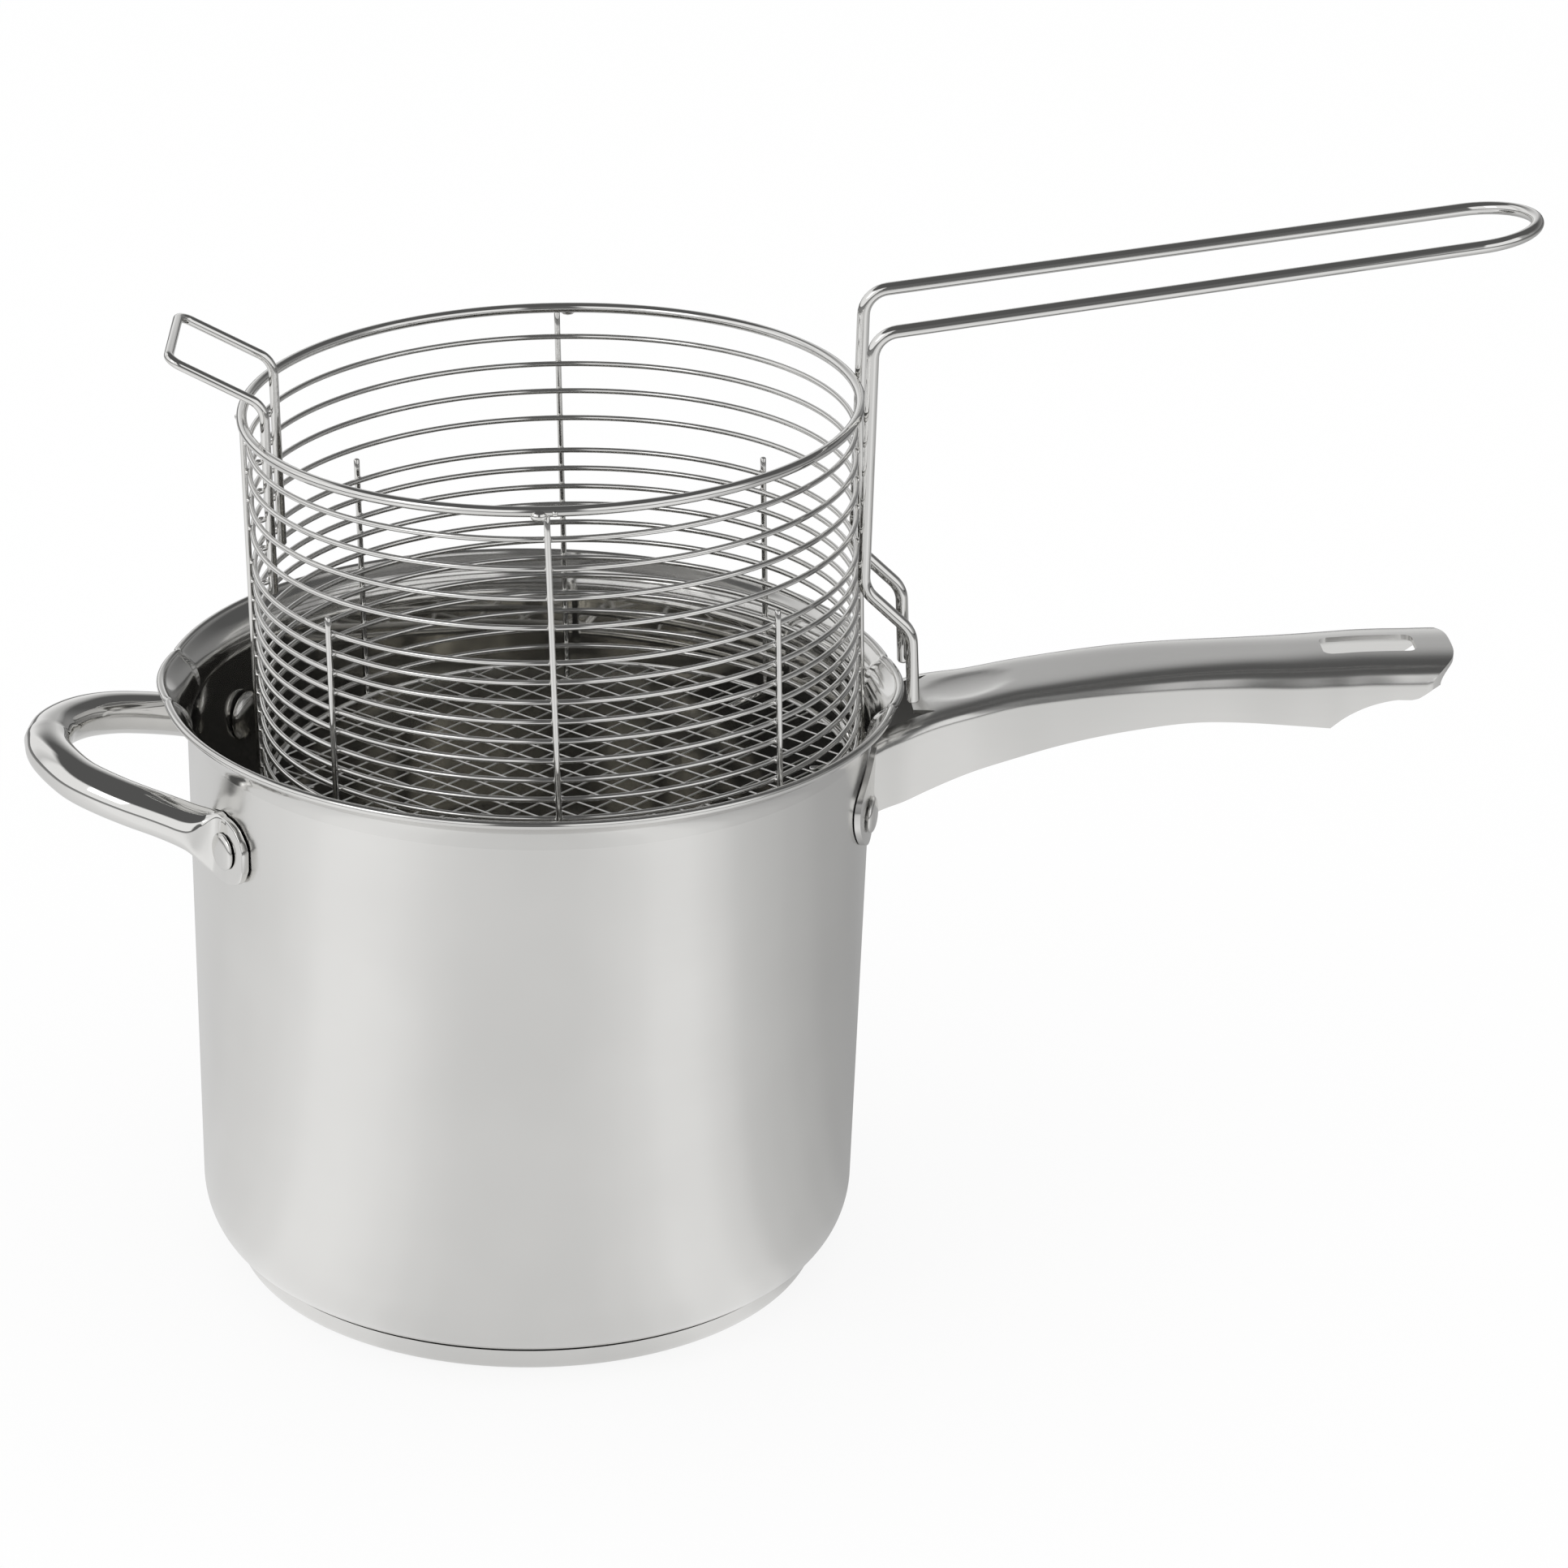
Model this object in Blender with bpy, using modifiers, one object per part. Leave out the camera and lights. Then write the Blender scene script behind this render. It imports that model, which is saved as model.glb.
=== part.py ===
# Deep fry pot with a hanging wire basket.
# Metres, +Z up, the main handle points along +X, the foot stands on z = 0.
import math

import bmesh
import bpy
from mathutils import Matrix, Vector

MM = 0.001

# Clearances and resolution
FIT_GAP = 0.3 * MM
WELD_DISTANCE = 0.01 * MM
ROUND_STEPS = 72
SMALL_STEPS = 14
RING_SEGMENTS = 32
SHARP_ANGLE = math.radians(40)
CUT_MARGIN = 6 * MM

# Pot wall, lip and bead
POT_RADIUS = 100 * MM
POT_TAPER = 0.017
POT_SHEET = 0.8 * MM
BEAD_RADIUS = 1.2 * MM
BEAD_HEIGHT = 181 * MM
BEAD_INNER_ANGLE = 170
BEAD_OUTER_ANGLE = -125
BEAD_STEPS = 6
LIP_REACH = 5.93 * MM
LIP_RISE = 10 * MM
LIP_SHARES = ((0.14, 0.36), (0.46, 0.7))
CORNER_WIDTH = 12.36 * MM
CORNER_HEIGHT = 17.7 * MM
CORNER_STEPS = 4
POT_COLOUR = (0.56, 0.56, 0.54, 1)

# Pouring spouts, left and right
SPOUT_HALF_ANGLE = 10
SPOUT_BULGE = 1.5 * MM
SPOUT_DENT = 1.1 * MM
SPOUT_DENT_ANGLE = 4

# Base cap and heat spreader
CAP_SHEET = 0.8 * MM
CAP_REACH = 3.4 * MM
CAP_SLOPE = 6 * MM
CAP_SHARES = ((0.95, 0.7), (0.8, 0.36), (0.5, 0.12))
CORE_THICKNESS = 6.5 * MM
CORE_MARGIN = 3.6 * MM
CORE_CHAMFER = 2.5 * MM

# Rivets
RIVET_DROP = 31 * MM
RIVET_SHANK_RADIUS = 2.5 * MM
DOME_RADIUS = 7.4 * MM
DOME_HEIGHT = 2.6 * MM
HEAD_RADIUS = 5.4 * MM
HEAD_HEIGHT = 1.6 * MM
HEAD_SHARES = ((0.55, 0.94), (0.85, 0.7), (1, 0.3))
HEAD_CLEARANCE = 0.5 * MM
HELPER_RIVET_ANGLE = 30.4

# Main handle
HANDLE_SHEET = 1.5 * MM
HANDLE_LENGTH = 170.8 * MM
HANDLE_HALF_WIDTH = 18.2 * MM
HANDLE_CROWN = 6.2 * MM
HANDLE_DEPTH = 18 * MM
HANDLE_ROOT_RISE = 16.1 * MM
HANDLE_RISE = 20.3 * MM
HANDLE_END_LENGTH = 20.8 * MM
HANDLE_END_SHARE = 1.1
HANDLE_CROWN_POWER = 0.8
HANDLE_CROWN_STEPS = 10

# Handle stations as shares: distance along the handle, half width, shoulder rise, crown, skirt depth
HANDLE_SHARES = (
    (-0.0468, 1.209, -0.251, 0.74, 0.917),
    (-0.0117, 1.187, -0.103, 0.81, 0.978),
    (0.0117, 1.165, 0, 0.84, 0.983),
    (0.0468, 1.143, 0.118, 0.87, 1.017),
    (0.082, 1.088, 0.217, 0.9, 1.006),
    (0.1639, 0.94, 0.355, 0.97, 0.8),
    (0.2342, 0.89, 0.493, 0.97, 0.75),
    (0.3044, 0.896, 0.596, 0.97, 0.617),
    (0.445, 0.907, 0.764, 0.97, 0.5),
    (0.5504, 0.89, 0.842, 0.97, 0.472),
    (0.6323, 0.896, 0.882, 0.97, 0.533),
    (0.7143, 0.945, 0.911, 0.97, 0.617),
    (0.7763, 0.967, 0.941, 0.98, 0.694),
    (0.7963, 0.978, 0.951, 0.98, 0.567),
    (0.8285, 0.984, 0.966, 1, 0.406),
    (0.8829, 1, 0.98, 1, 0.261),
    (0.9368, 1, 0.99, 1, 0.194),
    (1.0304, 1, 1, 1, 0.156),
)
ROOT_SHARES = HANDLE_SHARES[2]
DIMPLE_SHARES = HANDLE_SHARES[5:7]

# Notch over the rim, hanging slot and thumb dimple of the main handle
NOTCH_SHARES = ((-0.0585, 0.769), (0.0234, 0.824), (0.0995, 0.769), (0.0644, 0.495))
SLOT_END_MARGIN = 12.8 * MM
SLOT_HALF_LENGTH = 14.5 * MM
SLOT_HALF_WIDTH = 6.2 * MM
SLOT_CORNER_RADIUS = 4 * MM
DIMPLE_HALF_LENGTH = 14 * MM
DIMPLE_HALF_WIDTH = 10 * MM
DIMPLE_DEPTH = 0.6 * MM
DIMPLE_ROUND = 3 * MM

# Main handle ears, outlined around their rivets
EAR_SHEET = 1.6 * MM
EAR_WIDTH = 11.7 * MM
EAR_HEIGHT = 18.4 * MM
EAR_SHARES = (
    (-0.726, -0.19), (-0.521, -0.391), (-0.179, -0.511), (0.205, -0.489), (0.59, -0.326),
    (0.897, -0.065), (1, 0.19), (0.915, 0.402), (0.632, 0.565), (0.205, 0.739),
    (-0.222, 0.902), (-0.658, 1),
)

# Helper handle
HELPER_REACH = 39.3 * MM
HELPER_RISE = 12.6 * MM
TUBE_HALF_WIDTH = 7 * MM
TUBE_HALF_HEIGHT = 6.2 * MM
HELPER_EAR_HALF_SHEET = 1.2 * MM
HELPER_EAR_HALF_HEIGHT = 10 * MM
HELPER_SIDES = 12

# Helper stations as shares: azimuth to the rivet's, reach, rise, half width, half height, squareness
HELPER_SHARES = (
    (0, 1, 1, 0.966, 0, 1),
    (0.122, 0.9718, 0.9841, 0.966, 0, 1),
    (0.243, 0.894, 0.9206, 0.966, 0, 1),
    (0.3594, 0.7862, 0.8175, 0.983, 0, 1),
    (0.4661, 0.632, 0.6984, 1, 0, 1),
    (0.5599, 0.464, 0.5556, 1, 0, 1),
    (0.6428, 0.3061, 0.4206, 0.931, 0.105, 1),
    (0.6992, 0.21, 0.3254, 0.586, 0.474, 0.8),
    (0.7528, 0.1263, 0.2222, 0.207, 0.842, 0.6),
    (0.8014, 0.0647, 0.127, 0.052, 1, 0.4),
    (0.8499, 0.0232, 0.0635, 0, 1, 0.3),
    (0.8913, 0.006, 0.0159, 0, 1, 0.3),
    (0.9556, 0.0038, -0.0079, 0, 1, 0.3),
    (1.0291, 0.0032, -0.0159, 0, 0.947, 0.3),
    (1.1046, 0.0024, -0.0317, 0, 0.553, 0.3),
    (1.1517, 0.0031, -0.0317, 0, -0.053, 0.3),
    (1.1744, 0.0033, -0.0317, 0, -0.737, 0.3),
)

# Basket rings and ribs
BASKET_TILT = 2.05
BASKET_DROP = 0.4 * MM
BASKET_CLEARANCE = 8.97 * MM
THIN_WIRE_RADIUS = 0.9 * MM
TOP_WIRE_RADIUS = 1.5 * MM
TOP_RING_STEP = 1.5 * MM
LOWEST_RING_HEIGHT = 2 * MM
LOWER_RING_COUNT = 13
LOWER_RING_STEP = 5.8 * MM
RING_BREAK = 10.35 * MM
UPPER_RING_COUNT = 4
UPPER_RING_STEP = 8.6 * MM
RIB_WIRE_RADIUS = 0.95 * MM
RIB_FOOT_LENGTH = 13.6 * MM
RIB_BEND_STEPS = 4
SHORT_RIB_OVERLAP = 3.4 * MM
DOME_SEAT_SHARE = 0.88
LONG_RIBS = (("rib_right", 0), ("rib_back", 88), ("rib_left", 180), ("rib_front", -92))
SHORT_RIBS = (
    ("short_rib_far_right", 44), ("short_rib_far_left", 127),
    ("short_rib_near_left", -133), ("short_rib_near_right", -48),
)
WIRE_COLOUR = (0.62, 0.62, 0.6, 1)

# Floor net
NET_PITCH = 10.9 * MM
NET_WIRE_WIDTH = 1.3 * MM
NET_THICKNESS = 1.3 * MM
NET_RIM_WIDTH = 1.6 * MM
NET_TURN = 45
NET_SMALLEST_SHARE = 0.12
NET_RIM_STEPS = 36

# Basket handle wire
HANDLE_WIRE_RADIUS = 1.75 * MM
LEG_SIDE = 19.5 * MM
RIM_CLEARANCE = 1.1 * MM
HOOK_DROP = 4.4 * MM
HOOK_LENGTH = 25.4 * MM
HOOK_LEAN = 0.4 * MM
JOG_RISE = 13.6 * MM
GRIP_BASE_RISE = 23.55 * MM
GRIP_LENGTH = 171.4 * MM
GRIP_RISE = 18.7 * MM
JOG_BEND = 6 * MM
TOP_BEND = 6.5 * MM
BEND_STEPS = 5
GRIP_STEPS = 14

# Hook loop wire
LOOP_WIRE_RADIUS = 1.4 * MM
LOOP_SIDE = 17 * MM
LOOP_LENGTH = 47.95 * MM
LOOP_KNEE_RISE = 7.95 * MM
LOOP_REACH = 23.6 * MM
LOOP_RISE = 14.8 * MM
LOOP_BEND = 4 * MM


def wall_radius(height):
    """Outer radius of the tapered wall."""
    return POT_RADIUS - POT_TAPER * (BEAD_HEIGHT - height)


# Places on the pot that follow from its sizes
BODY_FLOOR = CAP_SHEET + FIT_GAP + CORE_THICKNESS + FIT_GAP
CORNER_TOP = BODY_FLOOR + CORNER_HEIGHT
CORNER_FOOT_RADIUS = wall_radius(CORNER_TOP) - CORNER_WIDTH
BEAD_RING_RADIUS = POT_RADIUS + LIP_REACH
FLARE_START = BEAD_HEIGHT - LIP_RISE
CAP_RADIUS = CORNER_FOOT_RADIUS + CAP_REACH
FOOT_RADIUS = CAP_RADIUS - CAP_SLOPE
CORE_RADIUS = CAP_RADIUS - CAP_SHEET - CORE_MARGIN
RIVET_HEIGHT = BEAD_HEIGHT - RIVET_DROP

# Places on the two handles
HANDLE_ROOT_HEIGHT = RIVET_HEIGHT + HANDLE_ROOT_RISE
HANDLE_TOP = HANDLE_ROOT_HEIGHT + HANDLE_RISE + HANDLE_CROWN
HANDLE_TIP = POT_RADIUS + HANDLE_LENGTH
HANDLE_END_CENTRE = HANDLE_TIP - HANDLE_END_LENGTH
SLOT_CENTRE = HANDLE_TIP - SLOT_END_MARGIN - SLOT_HALF_LENGTH
NOTCH_LOW = HANDLE_ROOT_HEIGHT - 2 * HANDLE_SHEET
EAR_SIDE = HANDLE_HALF_WIDTH * ROOT_SHARES[1] + HEAD_RADIUS + HEAD_CLEARANCE
MAIN_RIVET_ANGLE = math.degrees(math.asin(EAR_SIDE / wall_radius(RIVET_HEIGHT)))
HELPER_EAR_RADIUS = wall_radius(RIVET_HEIGHT) + FIT_GAP + HELPER_EAR_HALF_SHEET
HELPER_EAR_SHEET = 2 * HELPER_EAR_HALF_SHEET
DOME_WALL = wall_radius(RIVET_HEIGHT - DOME_RADIUS) - POT_SHEET
DOME_BASE = math.sqrt(DOME_WALL ** 2 - DOME_RADIUS ** 2) - FIT_GAP

# Basket rings and ribs, sized to pass down inside the wall
BASKET_Z = RIVET_HEIGHT - BASKET_DROP
RIB_REACH = THIN_WIRE_RADIUS + FIT_GAP + RIB_WIRE_RADIUS
THIN_RING_RADIUS = (wall_radius(BASKET_Z) - POT_SHEET - BASKET_CLEARANCE
                    - RIB_WIRE_RADIUS - RIB_REACH)
TOP_RING_RADIUS = THIN_RING_RADIUS + TOP_RING_STEP

# Places in the basket's own frame
RING_INSIDE = THIN_RING_RADIUS * math.cos(math.pi / RING_SEGMENTS) - THIN_WIRE_RADIUS
RING_OUTSIDE = THIN_RING_RADIUS * math.cos(math.pi / RING_SEGMENTS) + THIN_WIRE_RADIUS
TOP_LOWER_RING_HEIGHT = LOWEST_RING_HEIGHT + (LOWER_RING_COUNT - 1) * LOWER_RING_STEP
TOP_RING_HEIGHT = TOP_LOWER_RING_HEIGHT + RING_BREAK + UPPER_RING_COUNT * UPPER_RING_STEP
RIB_RADIUS = THIN_RING_RADIUS + RIB_REACH
RIB_FOOT_RADIUS = THIN_RING_RADIUS - RIB_FOOT_LENGTH
RIB_FOOT_HEIGHT = LOWEST_RING_HEIGHT - THIN_WIRE_RADIUS - FIT_GAP - RIB_WIRE_RADIUS
RIB_BEND = RIB_REACH
LONG_RIB_TOP = TOP_RING_HEIGHT - TOP_WIRE_RADIUS - FIT_GAP
SHORT_RIB_TOP = TOP_LOWER_RING_HEIGHT + SHORT_RIB_OVERLAP
NET_RADIUS = RING_INSIDE - FIT_GAP
NET_HEIGHT = RIB_FOOT_HEIGHT + RIB_WIRE_RADIUS + FIT_GAP + NET_THICKNESS / 2

# Basket seat: it leans right until a rib meets the wall or a ring meets the rivet domes
RIB_SEAT = wall_radius(BASKET_Z) - POT_SHEET - FIT_GAP - RIB_RADIUS - RIB_WIRE_RADIUS
DOME_REACH = DOME_BASE - DOME_HEIGHT * DOME_SEAT_SHARE
DOME_SIDE = DOME_REACH * math.sin(math.radians(MAIN_RIVET_ANGLE))
DOME_SEAT = (DOME_REACH * math.cos(math.radians(MAIN_RIVET_ANGLE))
             - math.sqrt(RING_OUTSIDE ** 2 - DOME_SIDE ** 2) - FIT_GAP)
BASKET_X = min(RIB_SEAT, DOME_SEAT)
TILT_TURN = math.radians(BASKET_TILT)
BASKET_FRAME = Matrix.Translation((BASKET_X, 0, BASKET_Z)) @ Matrix.Rotation(-TILT_TURN, 4, "Y")

# Path of the basket handle: hooked over the rim, outside the rings, out along the grip
RIM_ABOVE = BEAD_HEIGHT - BASKET_Z
BEAD_OUTSIDE = math.sqrt((BEAD_RING_RADIUS + BEAD_RADIUS) ** 2 - LEG_SIDE ** 2)
LEG_OUT = (BEAD_OUTSIDE + RIM_CLEARANCE + HANDLE_WIRE_RADIUS - BASKET_X
           + RIM_ABOVE * math.sin(TILT_TURN)) / math.cos(TILT_TURN)
LEG_IN = (math.sqrt((THIN_RING_RADIUS + THIN_WIRE_RADIUS) ** 2 - LEG_SIDE ** 2)
          + FIT_GAP + HANDLE_WIRE_RADIUS)
LEG_RIM = (math.sqrt((TOP_RING_RADIUS + TOP_WIRE_RADIUS) ** 2 - LEG_SIDE ** 2)
           + FIT_GAP + HANDLE_WIRE_RADIUS)
LEG_END = (LEG_OUT, RIM_ABOVE - HOOK_DROP)
LEG_JOG_LOW = (LEG_OUT - HOOK_LEAN, LEG_END[1] + HOOK_LENGTH)
LEG_JOG_HIGH = (LEG_IN, LEG_JOG_LOW[1] + JOG_RISE)
LEG_TOP_HEIGHT = TOP_RING_HEIGHT + GRIP_BASE_RISE
LEG_SLOPE = (LEG_RIM - LEG_IN) / (TOP_RING_HEIGHT - LEG_JOG_HIGH[1])
LEG_TOP = (LEG_IN + LEG_SLOPE * (LEG_TOP_HEIGHT - LEG_JOG_HIGH[1]), LEG_TOP_HEIGHT)
GRIP_TURN = (LEG_TOP[0] + GRIP_LENGTH, LEG_TOP_HEIGHT + GRIP_RISE)

# Path of the hook loop: inside the rings, then out over the rim ring
LOOP_IN = FIT_GAP + LOOP_WIRE_RADIUS - math.sqrt(RING_INSIDE ** 2 - LOOP_SIDE ** 2)
LOOP_FOOT = (LOOP_IN, TOP_RING_HEIGHT - LOOP_LENGTH)
LOOP_KNEE = (LOOP_IN, TOP_RING_HEIGHT + LOOP_KNEE_RISE)
LOOP_END = (LOOP_IN - LOOP_REACH, LOOP_KNEE[1] + LOOP_RISE)

for old in list(bpy.data.objects):
    bpy.data.objects.remove(old, do_unlink=True)

parts = bpy.data.collections.new("deep_fry_pot")
cutters = bpy.data.collections.new("cutters")
bpy.context.scene.collection.children.link(parts)
bpy.context.scene.collection.children.link(cutters)
cutters.hide_render = True


# Shared modelling steps
def new_material(name, colour, roughness, metallic=1):
    """Make a plain metal for one sub-part."""
    material = bpy.data.materials.new(name)
    material.use_nodes = True
    shader = material.node_tree.nodes["Principled BSDF"]
    shader.inputs["Base Color"].default_value = colour
    shader.inputs["Roughness"].default_value = roughness
    shader.inputs["Metallic"].default_value = metallic
    material.diffuse_color = colour
    return material


def add_part(name, data, colour, roughness, frame=None):
    """Put a piece in the object's collection with its own material."""
    part = bpy.data.objects.new(name, data)
    parts.objects.link(part)
    data.materials.clear()
    data.materials.append(new_material(name + "_metal", colour, roughness))
    if frame is not None:
        part.matrix_world = frame
    return part


def add_cutter(name, data):
    """Put a helper shape in the hidden collection."""
    cutter = bpy.data.objects.new(name, data)
    cutters.objects.link(cutter)
    cutter.hide_render = True
    cutter.display_type = "WIRE"
    return cutter


def mesh_from(name, points, faces):
    """Make a closed mesh with its faces turned outward."""
    data = bpy.data.meshes.new(name)
    data.from_pydata([tuple(point) for point in points], [], faces)
    shape = bmesh.new()
    shape.from_mesh(data)
    bmesh.ops.remove_doubles(shape, verts=shape.verts, dist=WELD_DISTANCE)
    bmesh.ops.recalc_face_normals(shape, faces=shape.faces)
    shape.to_mesh(data)
    shape.free()
    return data


def applied(source):
    """Return the finished mesh of an object with its modifiers applied."""
    bpy.context.view_layer.update()
    graph = bpy.context.evaluated_depsgraph_get()
    data = bpy.data.meshes.new_from_object(source.evaluated_get(graph), depsgraph=graph)
    shape = bmesh.new()
    shape.from_mesh(data)
    bmesh.ops.remove_doubles(shape, verts=shape.verts, dist=WELD_DISTANCE)
    bmesh.ops.recalc_face_normals(shape, faces=shape.faces)
    shape.to_mesh(data)
    shape.free()
    return data


def turned(name, profile, steps, closed=False):
    """Revolve a profile of (radius, height) points about Z and return its mesh."""
    data = bpy.data.meshes.new(name)
    points = [(radius, 0, height) for radius, height in profile]
    edges = [(index, index + 1) for index in range(len(points) - 1)]
    if closed:
        edges.append((len(points) - 1, 0))
    data.from_pydata(points, edges, [])
    source = add_cutter(name + "_profile", data)
    screw = source.modifiers.new("turn", "SCREW")
    screw.axis = "Z"
    screw.angle = math.tau
    screw.screw_offset = 0
    screw.steps = steps
    screw.render_steps = steps
    screw.use_merge_vertices = True
    screw.merge_threshold = WELD_DISTANCE
    result = applied(source)
    bpy.data.objects.remove(source, do_unlink=True)
    return result


def combine(target, tools, operation):
    """Cut, join or intersect an object with others and keep the finished mesh."""
    for tool in tools:
        step = target.modifiers.new(operation.lower(), "BOOLEAN")
        step.operation = operation
        step.solver = "EXACT"
        step.object = tool
    finished = applied(target)
    target.modifiers.clear()
    material_slots = [slot.material for slot in target.material_slots]
    target.data = finished
    finished.materials.clear()
    for material in material_slots:
        finished.materials.append(material)


def smooth(part):
    """Shade the round surfaces smooth and keep the real edges sharp."""
    part.data.shade_smooth()
    part.data.set_sharp_from_angle(angle=SHARP_ANGLE)


def wire(name, points, radius, resolution, cyclic, colour, roughness, frame):
    """Bend a round wire along a path."""
    path = bpy.data.curves.new(name, "CURVE")
    path.dimensions = "3D"
    path.bevel_depth = radius
    path.bevel_resolution = resolution
    path.use_fill_caps = True
    spline = path.splines.new("POLY")
    spline.points.add(len(points) - 1)
    for target, point in zip(spline.points, points):
        target.co = (*point, 1)
    spline.use_cyclic_u = cyclic
    source = add_cutter(name + "_path", path)
    result = applied(source)
    bpy.data.objects.remove(source, do_unlink=True)
    part = add_part(name, result, colour, roughness, frame)
    smooth(part)
    return part


def rounded(corners, bends, steps):
    """Round the inner corners of a path with arcs of the given radii."""
    points = [corners[0]]
    for index in range(1, len(corners) - 1):
        corner = corners[index]
        back = (corners[index - 1] - corner).normalized()
        ahead = (corners[index + 1] - corner).normalized()
        half = back.angle(ahead) / 2
        reach = bends[index - 1] / math.tan(half)
        centre = corner + (back + ahead).normalized() * (bends[index - 1] / math.sin(half))
        start = corner + back * reach - centre
        end = corner + ahead * reach - centre
        sweep = start.angle(end)
        for step in range(steps + 1):
            share = step / steps
            arm = start * math.sin(sweep * (1 - share)) + end * math.sin(sweep * share)
            points.append(centre + arm / math.sin(sweep))
    points.append(corners[-1])
    return points


def loft(name, sections):
    """Skin a closed solid through loops of equal length."""
    count = len(sections[0])
    points = [point for section in sections for point in section]
    faces = [tuple(range(count))]
    for row in range(len(sections) - 1):
        for side in range(count):
            following = (side + 1) % count
            faces.append((row * count + side, row * count + following,
                          (row + 1) * count + following, (row + 1) * count + side))
    faces.append(tuple((len(sections) - 1) * count + side for side in reversed(range(count))))
    return mesh_from(name, points, faces)


def prism(name, outline, low, high, upright=True):
    """Extrude an outline: upright along Z from (x, y), or along X from (y, z)."""
    def place(first, second, level):
        return Vector((first, second, level)) if upright else Vector((level, first, second))
    return loft(name, [[place(first, second, level) for first, second in outline]
                       for level in (low, high)])


def polar(radius, angle, height):
    """Point at a radius, an azimuth in degrees and a height."""
    turn = math.radians(angle)
    return Vector((radius * math.cos(turn), radius * math.sin(turn), height))


# Pot body: floor, rounded corner, tapered wall, flared lip and rolled bead
def corner_points(inset):
    """Corner curve from the wall down to the floor, moved inward by inset."""
    spread = CORNER_WIDTH - inset
    drop = CORNER_HEIGHT - inset
    return [(CORNER_FOOT_RADIUS + spread * math.cos(turn), CORNER_TOP - drop * math.sin(turn))
            for turn in (math.pi / 2 * step / CORNER_STEPS for step in range(CORNER_STEPS + 1))]


def bead_point(angle):
    """Point on the bead's round section."""
    turn = math.radians(angle)
    return (BEAD_RING_RADIUS + BEAD_RADIUS * math.cos(turn),
            BEAD_HEIGHT + BEAD_RADIUS * math.sin(turn))


def flare_points(start, end):
    """Lip curve from the wall out to the bead."""
    return [(start[0] + (end[0] - start[0]) * out, start[1] + (end[1] - start[1]) * up)
            for out, up in LIP_SHARES]


inner_start = (wall_radius(FLARE_START) - POT_SHEET, FLARE_START)
outer_start = (wall_radius(FLARE_START), FLARE_START)
bead_turn = (BEAD_OUTER_ANGLE - BEAD_INNER_ANGLE) / BEAD_STEPS
bead = [bead_point(BEAD_INNER_ANGLE + bead_turn * step) for step in range(BEAD_STEPS + 1)]
pot_profile = [(0, BODY_FLOOR + POT_SHEET)]
pot_profile += reversed(corner_points(POT_SHEET))
pot_profile.append(inner_start)
pot_profile += flare_points(inner_start, bead[0])
pot_profile += bead
pot_profile += reversed(flare_points(outer_start, bead[-1]))
pot_profile.append(outer_start)
pot_profile += corner_points(0)
pot_profile.append((0, BODY_FLOOR))
pot_body = add_part("pot_body", turned("pot_body", pot_profile, ROUND_STEPS), POT_COLOUR, 0.34)

# Pouring spouts: the lip bulges at both sides between two pinched creases
for vertex in pot_body.data.vertices:
    share = (vertex.co.z - FLARE_START) / (BEAD_HEIGHT - FLARE_START)
    if share <= 0:
        continue
    turn = abs(math.degrees(math.atan2(vertex.co.y, abs(vertex.co.x))))
    shift = 0
    if turn < SPOUT_HALF_ANGLE:
        shift = SPOUT_BULGE * math.cos(math.pi / 2 * turn / SPOUT_HALF_ANGLE)
    shift -= SPOUT_DENT * max(0, 1 - abs(turn - SPOUT_HALF_ANGLE) / SPOUT_DENT_ANGLE)
    radius = math.hypot(vertex.co.x, vertex.co.y)
    vertex.co.x *= 1 + shift * min(share, 1) / radius
    vertex.co.y *= 1 + shift * min(share, 1) / radius


# Rivet holes through the wall
def rivet_frame(angle):
    """Frame at the rivet height whose Z axis points outward from the pot axis."""
    return (Matrix.Rotation(math.radians(angle), 4, "Z") @ Matrix.Translation((0, 0, RIVET_HEIGHT))
            @ Matrix.Rotation(math.pi / 2, 4, "Y"))


rivets = (
    ("main_rivet_near", -MAIN_RIVET_ANGLE, EAR_SHEET),
    ("main_rivet_far", MAIN_RIVET_ANGLE, EAR_SHEET),
    ("helper_rivet_near", 180 + HELPER_RIVET_ANGLE, HELPER_EAR_SHEET),
    ("helper_rivet_far", 180 - HELPER_RIVET_ANGLE, HELPER_EAR_SHEET),
)
hole_radius = RIVET_SHANK_RADIUS + FIT_GAP
rivet_holes = []
for name, angle, thickness in rivets:
    low = wall_radius(RIVET_HEIGHT) - CUT_MARGIN
    high = wall_radius(RIVET_HEIGHT) + CUT_MARGIN
    profile = [(0, high), (hole_radius, high), (hole_radius, low), (0, low)]
    hole = add_cutter(name + "_hole", turned(name + "_hole", profile, SMALL_STEPS))
    hole.matrix_world = rivet_frame(angle)
    rivet_holes.append(hole)
combine(pot_body, rivet_holes, "DIFFERENCE")
smooth(pot_body)

# Base cap, a shallow dish around the heat spreader
cap_foot_share = (CAP_REACH - CAP_SHEET) / CORNER_WIDTH
cap_rim = CORNER_TOP - CORNER_HEIGHT * math.sqrt(1 - cap_foot_share ** 2) - FIT_GAP
cap_outer = [(FOOT_RADIUS + (CAP_RADIUS - FOOT_RADIUS) * out, cap_rim * up)
             for out, up in CAP_SHARES]
cap_inner = [(radius - CAP_SHEET, CAP_SHEET + (cap_rim - CAP_SHEET) * height / cap_rim)
             for radius, height in reversed(cap_outer)]
cap_profile = [(0, CAP_SHEET), (FOOT_RADIUS - CAP_SHEET, CAP_SHEET)] + cap_inner
cap_profile += [(CAP_RADIUS - CAP_SHEET, cap_rim), (CAP_RADIUS, cap_rim)] + cap_outer
cap_profile += [(FOOT_RADIUS, 0), (0, 0)]
base_cap = add_part("base_cap", turned("base_cap", cap_profile, ROUND_STEPS), POT_COLOUR, 0.3)
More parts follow.
